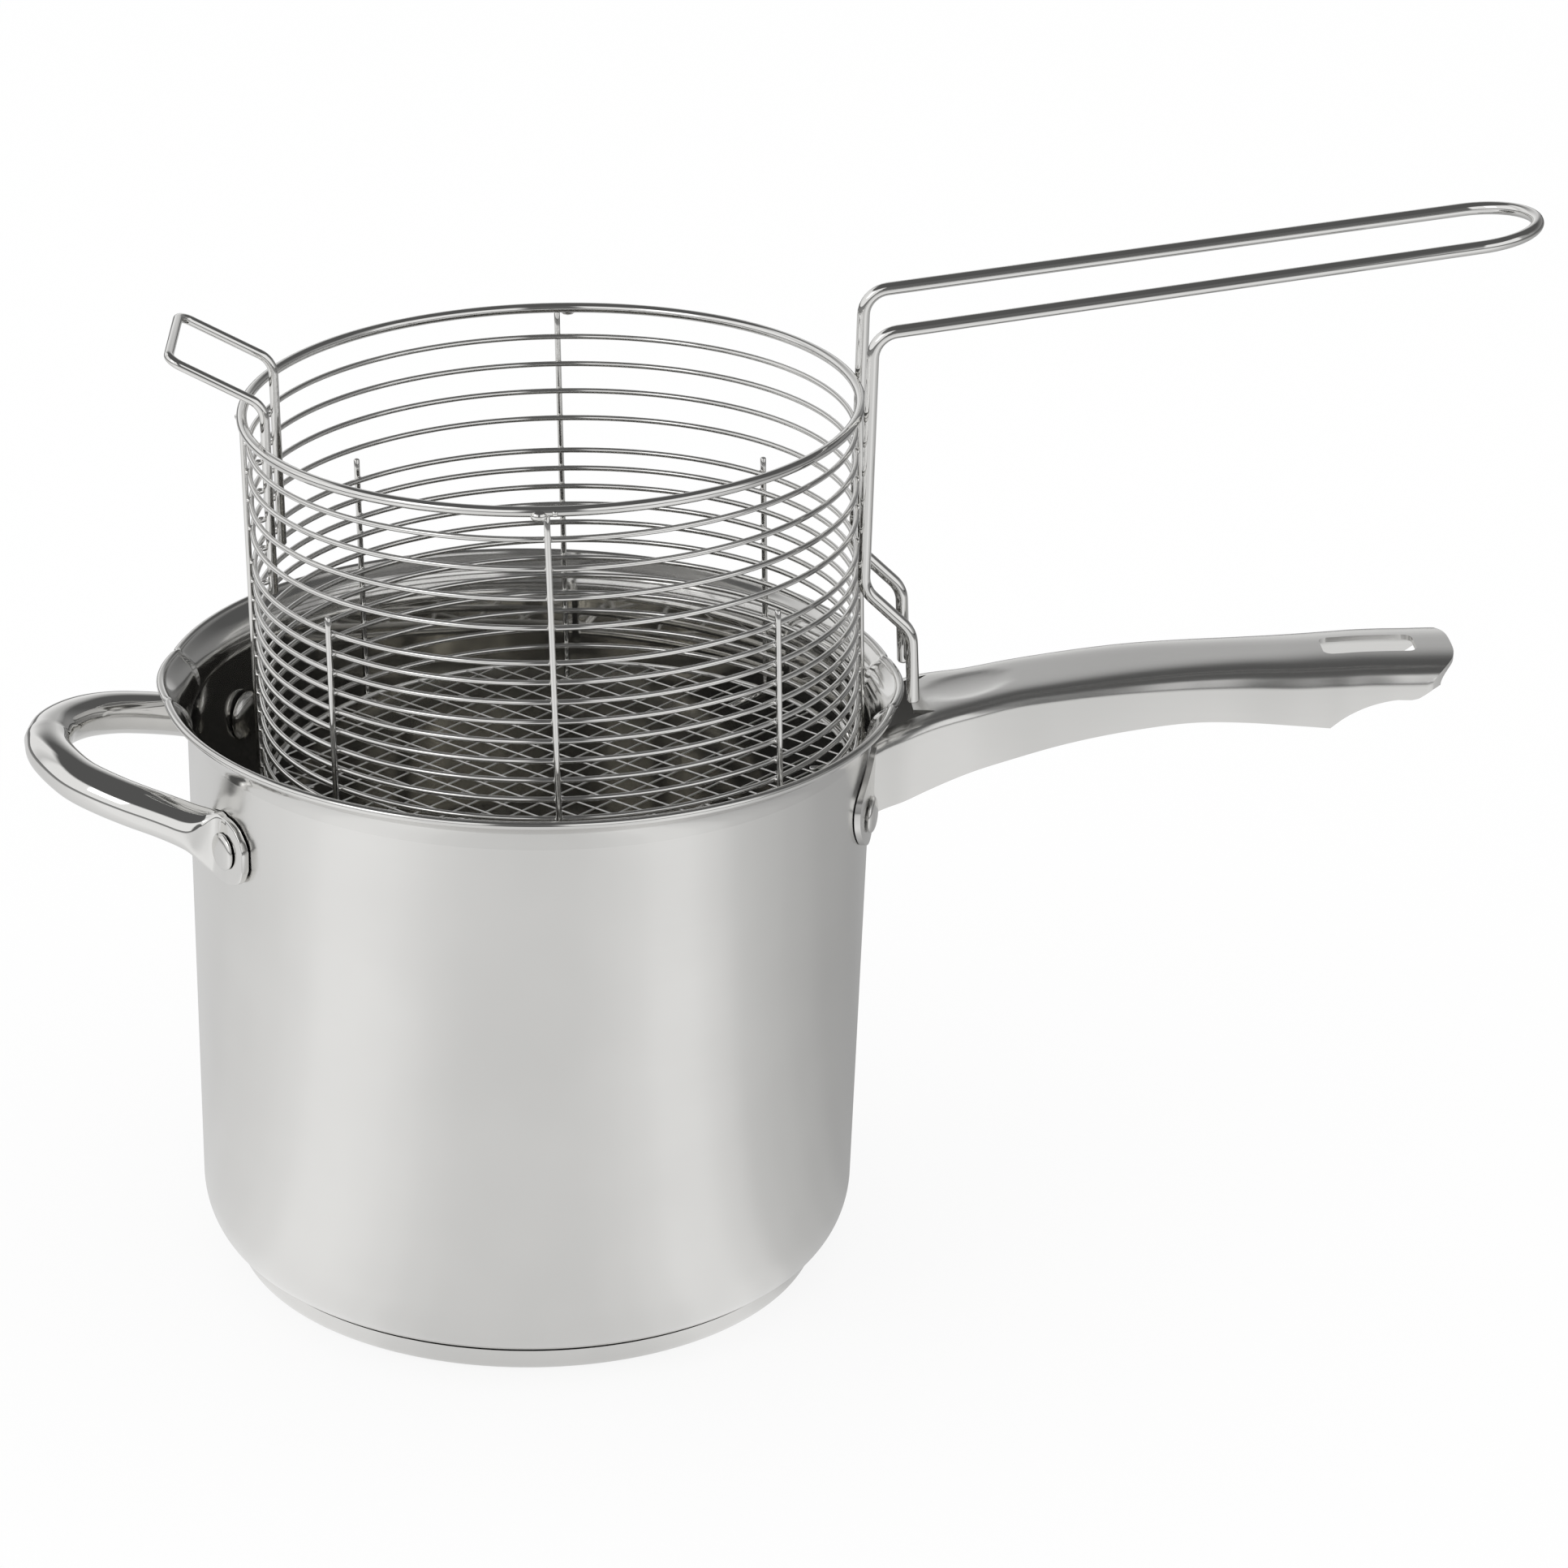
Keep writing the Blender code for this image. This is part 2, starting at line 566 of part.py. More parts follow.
smooth(base_cap)

# Heat spreader disc sealed between the floor and the cap
core_low = CAP_SHEET + FIT_GAP
core_high = core_low + CORE_THICKNESS
core_profile = [(0, core_high), (CORE_RADIUS, core_high), (CORE_RADIUS, core_low + CORE_CHAMFER),
                (CORE_RADIUS - CORE_CHAMFER, core_low), (0, core_low)]
base_core = add_part("base_core", turned("base_core", core_profile, RING_SEGMENTS),
                     (0.72, 0.72, 0.73, 1), 0.5)
smooth(base_core)

# Rivets: dome inside the wall, shank, flatter head outside the ear
for name, angle, thickness in rivets:
    head_base = wall_radius(RIVET_HEIGHT + HEAD_RADIUS) + FIT_GAP + thickness + FIT_GAP
    profile = [(0, head_base + HEAD_HEIGHT)]
    profile += [(HEAD_RADIUS * out, head_base + HEAD_HEIGHT * up) for out, up in HEAD_SHARES]
    profile += [(HEAD_RADIUS, head_base), (RIVET_SHANK_RADIUS, head_base),
                (RIVET_SHANK_RADIUS, DOME_BASE), (DOME_RADIUS, DOME_BASE)]
    profile += [(DOME_RADIUS * out, DOME_BASE - DOME_HEIGHT * up)
                for out, up in reversed(HEAD_SHARES)]
    profile.append((0, DOME_BASE - DOME_HEIGHT))
    rivet = add_part(name, turned(name, profile, SMALL_STEPS), WIRE_COLOUR, 0.2)
    rivet.matrix_world = rivet_frame(angle)
    smooth(rivet)

# Wall and lip shape that trims whatever is fixed to the pot, kept one gap away
bead_outside = BEAD_RING_RADIUS + BEAD_RADIUS + FIT_GAP
wall_profile = [(0, BEAD_HEIGHT), (bead_outside, BEAD_HEIGHT),
                (bead_outside, BEAD_HEIGHT - BEAD_RADIUS)]
wall_profile += [(radius + FIT_GAP, height)
                 for radius, height in reversed(flare_points(outer_start, bead[-1]))]
wall_profile += [(wall_radius(FLARE_START) + FIT_GAP, FLARE_START),
                 (wall_radius(0) + FIT_GAP, 0), (0, 0)]
wall_cutter = add_cutter("wall_cutter", turned("wall_cutter", wall_profile, ROUND_STEPS))


# Main handle: a pressed channel lofted along its length
def channel_section(station, inset, deeper):
    """Loop across the handle: skirt, crowned top, skirt."""
    along = POT_RADIUS + HANDLE_LENGTH * station[0]
    half_width = HANDLE_HALF_WIDTH * station[1] - inset
    shoulder = HANDLE_ROOT_HEIGHT + HANDLE_RISE * station[2]
    crown = HANDLE_CROWN * station[3]
    low = shoulder - HANDLE_DEPTH * station[4] - deeper
    shoulder -= inset * HANDLE_CROWN_POWER
    loop = [Vector((along, -half_width, low))]
    for step in range(HANDLE_CROWN_STEPS + 1):
        turn = math.pi * step / HANDLE_CROWN_STEPS
        side = -math.copysign(abs(math.cos(turn)) ** HANDLE_CROWN_POWER, math.cos(turn))
        rise = abs(math.sin(turn)) ** HANDLE_CROWN_POWER
        loop.append(Vector((along, half_width * side, shoulder + crown * rise)))
    loop.append(Vector((along, half_width, low)))
    return loop


main_handle = add_part("main_handle", loft("main_handle", [
    channel_section(station, 0, 0) for station in HANDLE_SHARES]), POT_COLOUR, 0.32)
hollow_sections = [channel_section(station, HANDLE_SHEET, CUT_MARGIN)
                   for station in HANDLE_SHARES]
for point in hollow_sections[0]:
    point.x -= CUT_MARGIN
for point in hollow_sections[-1]:
    point.x += CUT_MARGIN
hollow = add_cutter("handle_hollow", loft("handle_hollow", hollow_sections))

trim_side = 2 * HANDLE_HALF_WIDTH
cut_top = HANDLE_TOP + CUT_MARGIN
end_outline = [(0, -trim_side), (HANDLE_END_CENTRE, -trim_side)]
for step in range(SMALL_STEPS + 1):
    turn = -math.pi / 2 + math.pi * step / SMALL_STEPS
    end_outline.append((HANDLE_END_CENTRE + HANDLE_END_LENGTH * math.cos(turn),
                        HANDLE_HALF_WIDTH * HANDLE_END_SHARE * math.sin(turn)))
end_outline += [(HANDLE_END_CENTRE, trim_side), (0, trim_side)]
end_trim = add_cutter("handle_end_trim", prism("handle_end_trim", end_outline, 0, cut_top))

notch_half = [(POT_RADIUS + HANDLE_LENGTH * along, HANDLE_HALF_WIDTH * side)
              for along, side in NOTCH_SHARES]
notch_outline = notch_half + [(along, -side) for along, side in reversed(notch_half)]
notch = add_cutter("handle_notch", prism("handle_notch", notch_outline, NOTCH_LOW, cut_top))
combine(main_handle, [hollow], "DIFFERENCE")
combine(main_handle, [end_trim], "INTERSECT")
combine(main_handle, [notch], "DIFFERENCE")

# Ears of the main handle, cut from a shell around the wall
shell_low, shell_high = RIVET_HEIGHT - EAR_HEIGHT, FLARE_START - 2 * FIT_GAP
shell_profile = [(wall_radius(shell_high) + FIT_GAP / 2, shell_high),
                 (wall_radius(shell_high) + FIT_GAP + EAR_SHEET, shell_high),
                 (wall_radius(shell_low) + FIT_GAP + EAR_SHEET, shell_low),
                 (wall_radius(shell_low) + FIT_GAP / 2, shell_low)]
ear_shell = add_cutter("ear_shell", turned("ear_shell", shell_profile, ROUND_STEPS, True))
ears = []
for label, side in (("near", -1), ("far", 1)):
    outline = [(side * (EAR_SIDE + EAR_WIDTH * across), RIVET_HEIGHT + EAR_HEIGHT * up)
               for across, up in EAR_SHARES]
    ear = add_cutter("ear_" + label, prism(
        "ear_" + label, outline, POT_RADIUS / 2, POT_RADIUS + CUT_MARGIN, False))
    combine(ear, [ear_shell], "INTERSECT")
    ears.append(ear)
combine(main_handle, ears, "UNION")

# Hanging slot, thumb dimple, wall trim and rivet holes of the main handle
slot_outline = []
for corner in range(4):
    along = 1 if corner in (0, 3) else -1
    across = 1 if corner in (0, 1) else -1
    for step in range(BEND_STEPS):
        turn = math.pi / 2 * (corner + step / (BEND_STEPS - 1))
        slot_outline.append((
            SLOT_CENTRE + along * (SLOT_HALF_LENGTH - SLOT_CORNER_RADIUS)
            + SLOT_CORNER_RADIUS * math.cos(turn),
            across * (SLOT_HALF_WIDTH - SLOT_CORNER_RADIUS)
            + SLOT_CORNER_RADIUS * math.sin(turn)))
slot = add_cutter("hanging_slot", prism("hanging_slot", slot_outline, 0, cut_top))
near_station, far_station = DIMPLE_SHARES
slope = (HANDLE_RISE * (far_station[2] - near_station[2])
         / (HANDLE_LENGTH * (far_station[0] - near_station[0])))
dimple_centre = POT_RADIUS + HANDLE_LENGTH * near_station[0]
dimple_top = (HANDLE_ROOT_HEIGHT + HANDLE_RISE * near_station[2]
              + HANDLE_CROWN * near_station[3])
ball = bmesh.new()
bmesh.ops.create_uvsphere(ball, u_segments=SMALL_STEPS, v_segments=SMALL_STEPS // 2, radius=1)
ball_mesh = bpy.data.meshes.new("thumb_dimple")
ball.to_mesh(ball_mesh)
ball.free()
dimple = add_cutter("thumb_dimple", ball_mesh)
dimple.matrix_world = (
    Matrix.Translation((dimple_centre, 0, dimple_top + DIMPLE_ROUND - DIMPLE_DEPTH))
    @ Matrix.Rotation(-math.atan(slope), 4, "Y")
    @ Matrix.Diagonal((DIMPLE_HALF_LENGTH, DIMPLE_HALF_WIDTH, DIMPLE_ROUND, 1)))
combine(main_handle, [wall_cutter, slot, dimple] + rivet_holes[:2], "DIFFERENCE")
smooth(main_handle)

# Helper handle: an oval tube that flattens into two ears on the wall
helper_path = []
for around, outward, up, wide, tall, squareness in HELPER_SHARES:
    helper_path.append((
        polar(HELPER_EAR_RADIUS + HELPER_REACH * outward, 180 - HELPER_RIVET_ANGLE * around,
              RIVET_HEIGHT + HELPER_RISE * up),
        (HELPER_EAR_HALF_SHEET + (TUBE_HALF_WIDTH - HELPER_EAR_HALF_SHEET) * wide,
         TUBE_HALF_HEIGHT + (HELPER_EAR_HALF_HEIGHT - TUBE_HALF_HEIGHT) * tall, squareness)))
mirrored_path = [(Vector((point.x, -point.y, point.z)), size) for point, size in helper_path[1:]]
helper_path = list(reversed(mirrored_path)) + helper_path
helper_sections = []
for index, (centre, size) in enumerate(helper_path):
    before = helper_path[max(index - 1, 0)][0]
    after = helper_path[min(index + 1, len(helper_path) - 1)][0]
    heading = (after - before).normalized()
    across = Vector((heading.y, -heading.x, 0)).normalized()
    upward = across.cross(heading).normalized()
    half_width, half_height, power = size
    section = []
    for side in range(HELPER_SIDES):
        turn = math.tau * side / HELPER_SIDES
        width_share = math.copysign(abs(math.cos(turn)) ** power, math.cos(turn))
        height_share = math.copysign(abs(math.sin(turn)) ** power, math.sin(turn))
        section.append(centre + across * (half_width * width_share)
                       + upward * (half_height * height_share))
    helper_sections.append(section)
helper_handle = add_part("helper_handle", loft("helper_handle", helper_sections),
                         WIRE_COLOUR, 0.16)
combine(helper_handle, [wall_cutter] + rivet_holes[2:], "DIFFERENCE")
smooth(helper_handle)

# Basket: a parent empty on the lifting axis carries every wire
basket_axis = bpy.data.objects.new("basket_axis", None)
parts.objects.link(basket_axis)
basket_axis.matrix_world = BASKET_FRAME


def basket_wire(name, points, radius, resolution, cyclic=False, roughness=0.2):
    """Wire given in the basket's frame and carried by its empty."""
    part = wire(name, points, radius, resolution, cyclic, WIRE_COLOUR, roughness, None)
    part.parent = basket_axis
    return part


def ring_points(radius, height):
    """Points of a level ring."""
    return [polar(radius, 360 * step / RING_SEGMENTS, height) for step in range(RING_SEGMENTS)]


basket_wire("top_ring", ring_points(TOP_RING_RADIUS, TOP_RING_HEIGHT), TOP_WIRE_RADIUS, 2, True)

# Thin rings: close together below, wider apart above
lower_heights = [LOWEST_RING_HEIGHT + LOWER_RING_STEP * step for step in range(LOWER_RING_COUNT)]
upper_heights = [TOP_RING_HEIGHT - UPPER_RING_STEP * step
                 for step in range(UPPER_RING_COUNT, 0, -1)]
ring_heights = list(reversed(lower_heights + upper_heights))
for number, height in enumerate(ring_heights, 1):
    basket_wire(f"ring_{number:02d}", ring_points(THIN_RING_RADIUS, height),
                THIN_WIRE_RADIUS, 0, True)


# Ribs: outside the rings, turned in under the floor net
def rib_points(angle, top):
    """Path of one rib from its top to its foot."""
    corners = [polar(RIB_RADIUS, angle, top), polar(RIB_RADIUS, angle, RIB_FOOT_HEIGHT),
               polar(RIB_FOOT_RADIUS, angle, RIB_FOOT_HEIGHT)]
    return rounded(corners, [RIB_BEND], RIB_BEND_STEPS)


for name, angle in LONG_RIBS:
    basket_wire(name, rib_points(angle, LONG_RIB_TOP), RIB_WIRE_RADIUS, 1)
for name, angle in SHORT_RIBS:
    basket_wire(name, rib_points(angle, SHORT_RIB_TOP), RIB_WIRE_RADIUS, 1)


# Floor net: a flat outline with one opening for each mesh of the net
def clipped(outline, limit, count):
    """Keep the part of an outline inside a regular rim."""
    for step in range(count):
        turn = math.tau * step / count
        normal = (math.cos(turn), math.sin(turn))
        kept = []
        for index, point in enumerate(outline):
            previous = outline[index - 1]
            here = limit - point[0] * normal[0] - point[1] * normal[1]
            there = limit - previous[0] * normal[0] - previous[1] * normal[1]
            if here * there < 0:
                share = there / (there - here)
                kept.append(tuple(a + (b - a) * share for a, b in zip(previous, point)))
            if here >= 0:
                kept.append(point)
        outline = kept
        if len(outline) < 3:
            return []
    return outline


def outline_area(outline):
    """Area enclosed by an outline."""
    return abs(sum(a[0] * b[1] - b[0] * a[1]
                   for a, b in zip(outline, outline[1:] + outline[:1]))) / 2


net_curve = bpy.data.curves.new("floor_net", "CURVE")
net_curve.dimensions = "2D"
net_curve.fill_mode = "BOTH"
net_curve.extrude = NET_THICKNESS / 2
opening = NET_PITCH - NET_WIRE_WIDTH
reach = math.ceil(NET_RADIUS / NET_PITCH)
outlines = [[tuple(polar(NET_RADIUS, 360 * step / NET_RIM_STEPS, 0))[:2]
             for step in range(NET_RIM_STEPS)]]
for row in range(-reach, reach + 1):
    for column in range(-reach, reach + 1):
        square = []
        for along, across in ((-1, -1), (1, -1), (1, 1), (-1, 1)):
            corner = Vector((column * NET_PITCH + along * opening / 2,
                             row * NET_PITCH + across * opening / 2))
            corner.rotate(Matrix.Rotation(math.radians(NET_TURN), 2))
            square.append(tuple(corner))
        gap = clipped(square, NET_RADIUS - NET_RIM_WIDTH, NET_RIM_STEPS)
        if gap and outline_area(gap) > NET_SMALLEST_SHARE * opening ** 2:
            outlines.append(gap)
for outline in outlines:
    spline = net_curve.splines.new("POLY")
    spline.points.add(len(outline) - 1)
    for target, point in zip(spline.points, outline):
        target.co = (*point, 0, 1)
    spline.use_cyclic_u = True
net_source = add_cutter("floor_net_outline", net_curve)
floor_net = add_part("floor_net", applied(net_source), WIRE_COLOUR, 0.25)
bpy.data.objects.remove(net_source, do_unlink=True)
floor_net.location = (0, 0, NET_HEIGHT)
floor_net.parent = basket_axis

# Basket handle: one wire, two jogged legs and a round grip end
leg_corners = [Vector((along, -LEG_SIDE, height)) for along, height in (
    LEG_END, LEG_JOG_LOW, LEG_JOG_HIGH, LEG_TOP, GRIP_TURN)]
near_leg = rounded(leg_corners, [JOG_BEND, JOG_BEND, TOP_BEND], BEND_STEPS)
grip_slope = (leg_corners[-1] - leg_corners[-2]).normalized()
grip = [leg_corners[-1] + Vector((0, LEG_SIDE, 0)) + grip_slope * (LEG_SIDE * math.cos(turn))
        + Vector((0, LEG_SIDE * math.sin(turn), 0))
        for turn in (-math.pi / 2 + math.pi * step / GRIP_STEPS for step in range(1, GRIP_STEPS))]
far_leg = [Vector((point.x, -point.y, point.z)) for point in reversed(near_leg)]
basket_wire("basket_handle", near_leg + grip + far_leg, HANDLE_WIRE_RADIUS, 2)

# Hook loop: inside the rings, bent out over the rim side
loop_corners = [Vector((along, side * LOOP_SIDE, height)) for side, (along, height) in (
    (-1, LOOP_FOOT), (-1, LOOP_KNEE), (-1, LOOP_END), (1, LOOP_END), (1, LOOP_KNEE), (1, LOOP_FOOT))]
basket_wire("hook_loop", rounded(loop_corners, [LOOP_BEND] * 4, BEND_STEPS), LOOP_WIRE_RADIUS, 2)
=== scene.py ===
import math

import bmesh
import bpy
import numpy as np
from mathutils import Matrix, Vector


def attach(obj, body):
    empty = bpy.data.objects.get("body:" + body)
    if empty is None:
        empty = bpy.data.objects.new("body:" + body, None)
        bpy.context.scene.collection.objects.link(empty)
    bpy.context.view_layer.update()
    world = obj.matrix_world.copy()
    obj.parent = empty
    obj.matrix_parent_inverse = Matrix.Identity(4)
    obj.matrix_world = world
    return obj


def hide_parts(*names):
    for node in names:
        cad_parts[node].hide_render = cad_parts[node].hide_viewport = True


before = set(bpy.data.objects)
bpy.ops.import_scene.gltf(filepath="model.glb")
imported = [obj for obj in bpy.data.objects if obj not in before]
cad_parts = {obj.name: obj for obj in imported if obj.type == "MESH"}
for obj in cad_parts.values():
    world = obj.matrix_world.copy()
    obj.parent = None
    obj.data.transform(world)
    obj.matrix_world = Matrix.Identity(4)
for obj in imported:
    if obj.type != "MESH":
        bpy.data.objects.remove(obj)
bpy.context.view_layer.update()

# ---------------------------------------------------------------------------
# Pot shell. A deep-drawn cup of 0.8 mm stainless steel, its lip flared and
# rolled into a bead, with a pouring spout pressed out between two creases on
# the left and on the right. Satin outside, mirror polished inside.
# ---------------------------------------------------------------------------
mm = 0.001
bead_height = 181 * mm
flare_start = 171 * mm
bead_ring = 105.93 * mm
bead_wire = 1.2 * mm
shell_sheet = 0.8 * mm
floor_height = 7.9 * mm
corner_top = 25.6 * mm
corner_foot = 85 * mm


def wall_radius(height):
    """Outer radius of the slightly tapered wall."""
    return 100 * mm - 0.017 * (bead_height - height)


def smooth_line(points, steps):
    """Pass a smooth line through a few chosen points."""
    points = [np.array(point, float) for point in points]
    ends = [2 * points[0] - points[1], *points, 2 * points[-1] - points[-2]]
    line = []
    for before, start, end, after in zip(ends, ends[1:], ends[2:], ends[3:]):
        for step in range(steps):
            t = step / steps
            line.append(0.5 * (2 * start + (end - before) * t
                               + (2 * before - 5 * start + 4 * end - after) * t ** 2
                               + (3 * start - before - 3 * end + after) * t ** 3))
    return [*line, points[-1]]


def skin(name, loops, closed_rows=False, caps=False):
    """Skin loops of equal length into one mesh."""
    count = len(loops[0])
    data = bpy.data.meshes.new(name)
    faces = []
    for row in range(len(loops) if closed_rows else len(loops) - 1):
        following = (row + 1) % len(loops)
        for side in range(count):
            beside = (side + 1) % count
            faces.append((row * count + side, row * count + beside,
                          following * count + beside, following * count + side))
    if caps:
        faces.append(tuple(range(count)))
        faces.append(tuple((len(loops) - 1) * count + side for side in reversed(range(count))))
    data.from_pydata([tuple(point) for loop in loops for point in loop], [], faces)
    data.update()
    return data


def turned(name, profile, turns=288, angles=()):
    """Spin a profile of (radius, height) about the pot's axis."""
    angles = angles or np.linspace(0, math.tau, turns, endpoint=False)
    return skin(name, [[(radius * math.cos(turn), radius * math.sin(turn), height)
                        for turn in angles] for radius, height in profile])


weld_gap = 1e-6


def closed_up(data):
    """Weld a mesh and turn its faces outward."""
    shape = bmesh.new()
    shape.from_mesh(data)
    bmesh.ops.remove_doubles(shape, verts=shape.verts, dist=weld_gap)
    bmesh.ops.dissolve_degenerate(shape, edges=shape.edges, dist=weld_gap)
    bmesh.ops.recalc_face_normals(shape, faces=shape.faces)
    shape.to_mesh(data)
    shape.free()
    return data


def finished(name, data, body, stands_for, materials, sharp=35):
    """Close a mesh, shade it smooth and let it stand for its CAD nodes on their body."""
    piece = bpy.data.objects.new(name, closed_up(data))
    bpy.context.scene.collection.objects.link(piece)
    for material in materials:
        data.materials.append(material)
    data.shade_smooth()
    data.set_sharp_from_angle(angle=math.radians(sharp))
    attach(piece, body)
    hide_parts(*stands_for)
    return piece


def corner_line(inset):
    """Rounded corner from the wall down to the floor."""
    spread = wall_radius(corner_top) - corner_foot - inset
    drop = corner_top - floor_height - inset
    return [(corner_foot + spread * math.cos(turn), corner_top - drop * math.sin(turn))
            for turn in np.linspace(0, math.pi / 2, 25)]


def flare_line(start, end):
    """Lip curve from the wall out to the bead."""
    shares = ((0, 0), (0.14, 0.36), (0.46, 0.7), (1, 1))
    return [(start[0] + (end[0] - start[0]) * out, start[1] + (end[1] - start[1]) * up)
            for out, up in smooth_line(shares, 6)]


bead_line = [(bead_ring + bead_wire * math.cos(math.radians(turn)),
              bead_height + bead_wire * math.sin(math.radians(turn)))
             for turn in np.linspace(170, -125, 25)]
inner_neck = (wall_radius(flare_start) - shell_sheet, flare_start)
outer_neck = (wall_radius(flare_start), flare_start)
# The inside line runs up from the floor, over a fine ridge at the neck
inner_line = [(0, floor_height + shell_sheet)] + corner_line(shell_sheet)[::-1]
inner_line += [(wall_radius(height) - shell_sheet, height)
               for height in np.linspace(corner_top, flare_start, 12)[1:-1]]
inner_line[-1] = (inner_neck[0], flare_start - 2.2 * mm)
inner_line += [(inner_neck[0] - 0.22 * mm, flare_start - 1.3 * mm),
               (inner_neck[0] - 0.3 * mm, flare_start - 0.8 * mm),
               (inner_neck[0] - 0.16 * mm, flare_start - 0.3 * mm)]
inner_line += flare_line(inner_neck, bead_line[0])[:-1]
outer_line = flare_line(outer_neck, bead_line[-1])[::-1][1:]
outer_line += [(wall_radius(height), height)
               for height in np.linspace(flare_start, corner_top, 12)[1:-1]]
outer_line += corner_line(0) + [(0, floor_height)]

# Spouts: a bulge between two pinched creases, fading down the flare. The shell's
# turns, in tenths of a degree, lie closer together at the creases.
spout_turn, spout_half, crease_width = -1.85, 10.25, 0.6
spout_bulge, spout_fold = 1.5 * mm, 1.3 * mm
shell_turns = set(range(0, 3600, 12))
for crease in (spout_turn - spout_half, spout_turn + spout_half):
    for side in (0, 180):
        middle = round((crease + side) * 10)
        shell_turns |= {(middle + step) % 3600 for step in range(-24, 25, 2)}
shell_data = turned("pot_shell", inner_line + bead_line + outer_line,
                    angles=[math.radians(turn / 10) for turn in sorted(shell_turns)])
for vertex in shell_data.vertices:
    share = min(max((vertex.co.z - flare_start) / (bead_height - flare_start), 0), 1)
    if share == 0:
        continue
    turn = math.degrees(math.atan2(vertex.co.y, vertex.co.x)) - spout_turn
    turn = abs((turn + 90) % 180 - 90)
    bulge = spout_bulge * math.cos(math.pi / 2 * turn / spout_half) if turn < spout_half else 0
    fold = (spout_fold * math.exp(-((turn - spout_half) / crease_width) ** 2)
            * (1 - 0.7 * share ** 4))
    shift = bulge * share ** 1.4 - fold * share ** 0.5
    radius = math.hypot(vertex.co.x, vertex.co.y)
    vertex.co.x *= 1 + shift / radius
    vertex.co.y *= 1 + shift / radius


def sockets(group, direction, **kinds):
    """Give a node group its named sockets."""
    for name, kind in kinds.items():
        group.interface.new_socket(name=name.replace("_", " "), in_out=direction,
                                   socket_type=kind)


# Fine parallel scratches left by the polishing belt, shared by every steel face:
# they vary its roughness and height, and slow clouds vary its tone by a few percent
hairlines = bpy.data.node_groups.new("satin_hairlines", "ShaderNodeTree")
sockets(hairlines, "INPUT", Stretch="NodeSocketVector", Depth="NodeSocketFloat",
        Rough="NodeSocketFloat", Spread="NodeSocketFloat")
sockets(hairlines, "OUTPUT", Roughness="NodeSocketFloat", Height="NodeSocketFloat",
        Tone="NodeSocketFloat")
nodes = hairlines.nodes
taken = nodes.new("NodeGroupInput")
given = nodes.new("NodeGroupOutput")
place = nodes.new("ShaderNodeNewGeometry")
stretched = nodes.new("ShaderNodeVectorMath")
stretched.operation = "MULTIPLY"
lines = nodes.new("ShaderNodeTexNoise")
lines.inputs["Scale"].default_value = 1
lines.inputs["Detail"].default_value = 3
clouds = nodes.new("ShaderNodeTexNoise")
clouds.inputs["Scale"].default_value = 22
clouds.inputs["Detail"].default_value = 2
spread = nodes.new("ShaderNodeMath")
spread.operation = "MULTIPLY_ADD"
centred = nodes.new("ShaderNodeMath")
centred.operation = "SUBTRACT"
centred.inputs[1].default_value = 0.5
height = nodes.new("ShaderNodeMath")
height.operation = "MULTIPLY"
tone = nodes.new("ShaderNodeMath")
tone.operation = "MULTIPLY_ADD"
tone.inputs[1].default_value = 0.12
tone.inputs[2].default_value = 0.94
link = hairlines.links.new
link(place.outputs["Position"], stretched.inputs[0])
link(taken.outputs["Stretch"], stretched.inputs[1])
link(stretched.outputs[0], lines.inputs["Vector"])
link(place.outputs["Position"], clouds.inputs["Vector"])
link(lines.outputs["Fac"], centred.inputs[0])
link(centred.outputs[0], spread.inputs[0])
link(taken.outputs["Spread"], spread.inputs[1])
link(taken.outputs["Rough"], spread.inputs[2])
link(spread.outputs[0], given.inputs["Roughness"])
link(lines.outputs["Fac"], height.inputs[0])
link(taken.outputs["Depth"], height.inputs[1])
link(height.outputs[0], given.inputs["Height"])
link(clouds.outputs["Fac"], tone.inputs[0])
link(tone.outputs[0], given.inputs["Tone"])


def steel(name, colour, rough, stretch=(40, 40, 40), spread=0.05, depth=0.0, bump=0.0, metal=1):
    """Metal with its own sheen, and scratches as fine along x, y and z as stretch says."""
    material = bpy.data.materials.new(name)
    material.use_nodes = True
    tree = material.node_tree
    shader = tree.nodes["Principled BSDF"]
    shader.inputs["Metallic"].default_value = metal
    marks = tree.nodes.new("ShaderNodeGroup")
    marks.node_tree = hairlines
    marks.inputs["Stretch"].default_value = stretch
    marks.inputs["Depth"].default_value = 1
    marks.inputs["Rough"].default_value = rough
    marks.inputs["Spread"].default_value = spread
    shade = tree.nodes.new("ShaderNodeMix")
    shade.data_type = "RGBA"
    shade.blend_type = "MULTIPLY"
    shade.inputs["Factor"].default_value = 1
    shade.inputs["A"].default_value = (*colour, 1)
    tree.links.new(marks.outputs["Tone"], shade.inputs["B"])
    tree.links.new(shade.outputs["Result"], shader.inputs["Base Color"])
    tree.links.new(marks.outputs["Roughness"], shader.inputs["Roughness"])
    if bump:
        relief = tree.nodes.new("ShaderNodeBump")
        relief.inputs["Strength"].default_value = bump
        relief.inputs["Distance"].default_value = depth
        tree.links.new(marks.outputs["Height"], relief.inputs["Height"])
        tree.links.new(relief.outputs["Normal"], shader.inputs["Normal"])
    return material


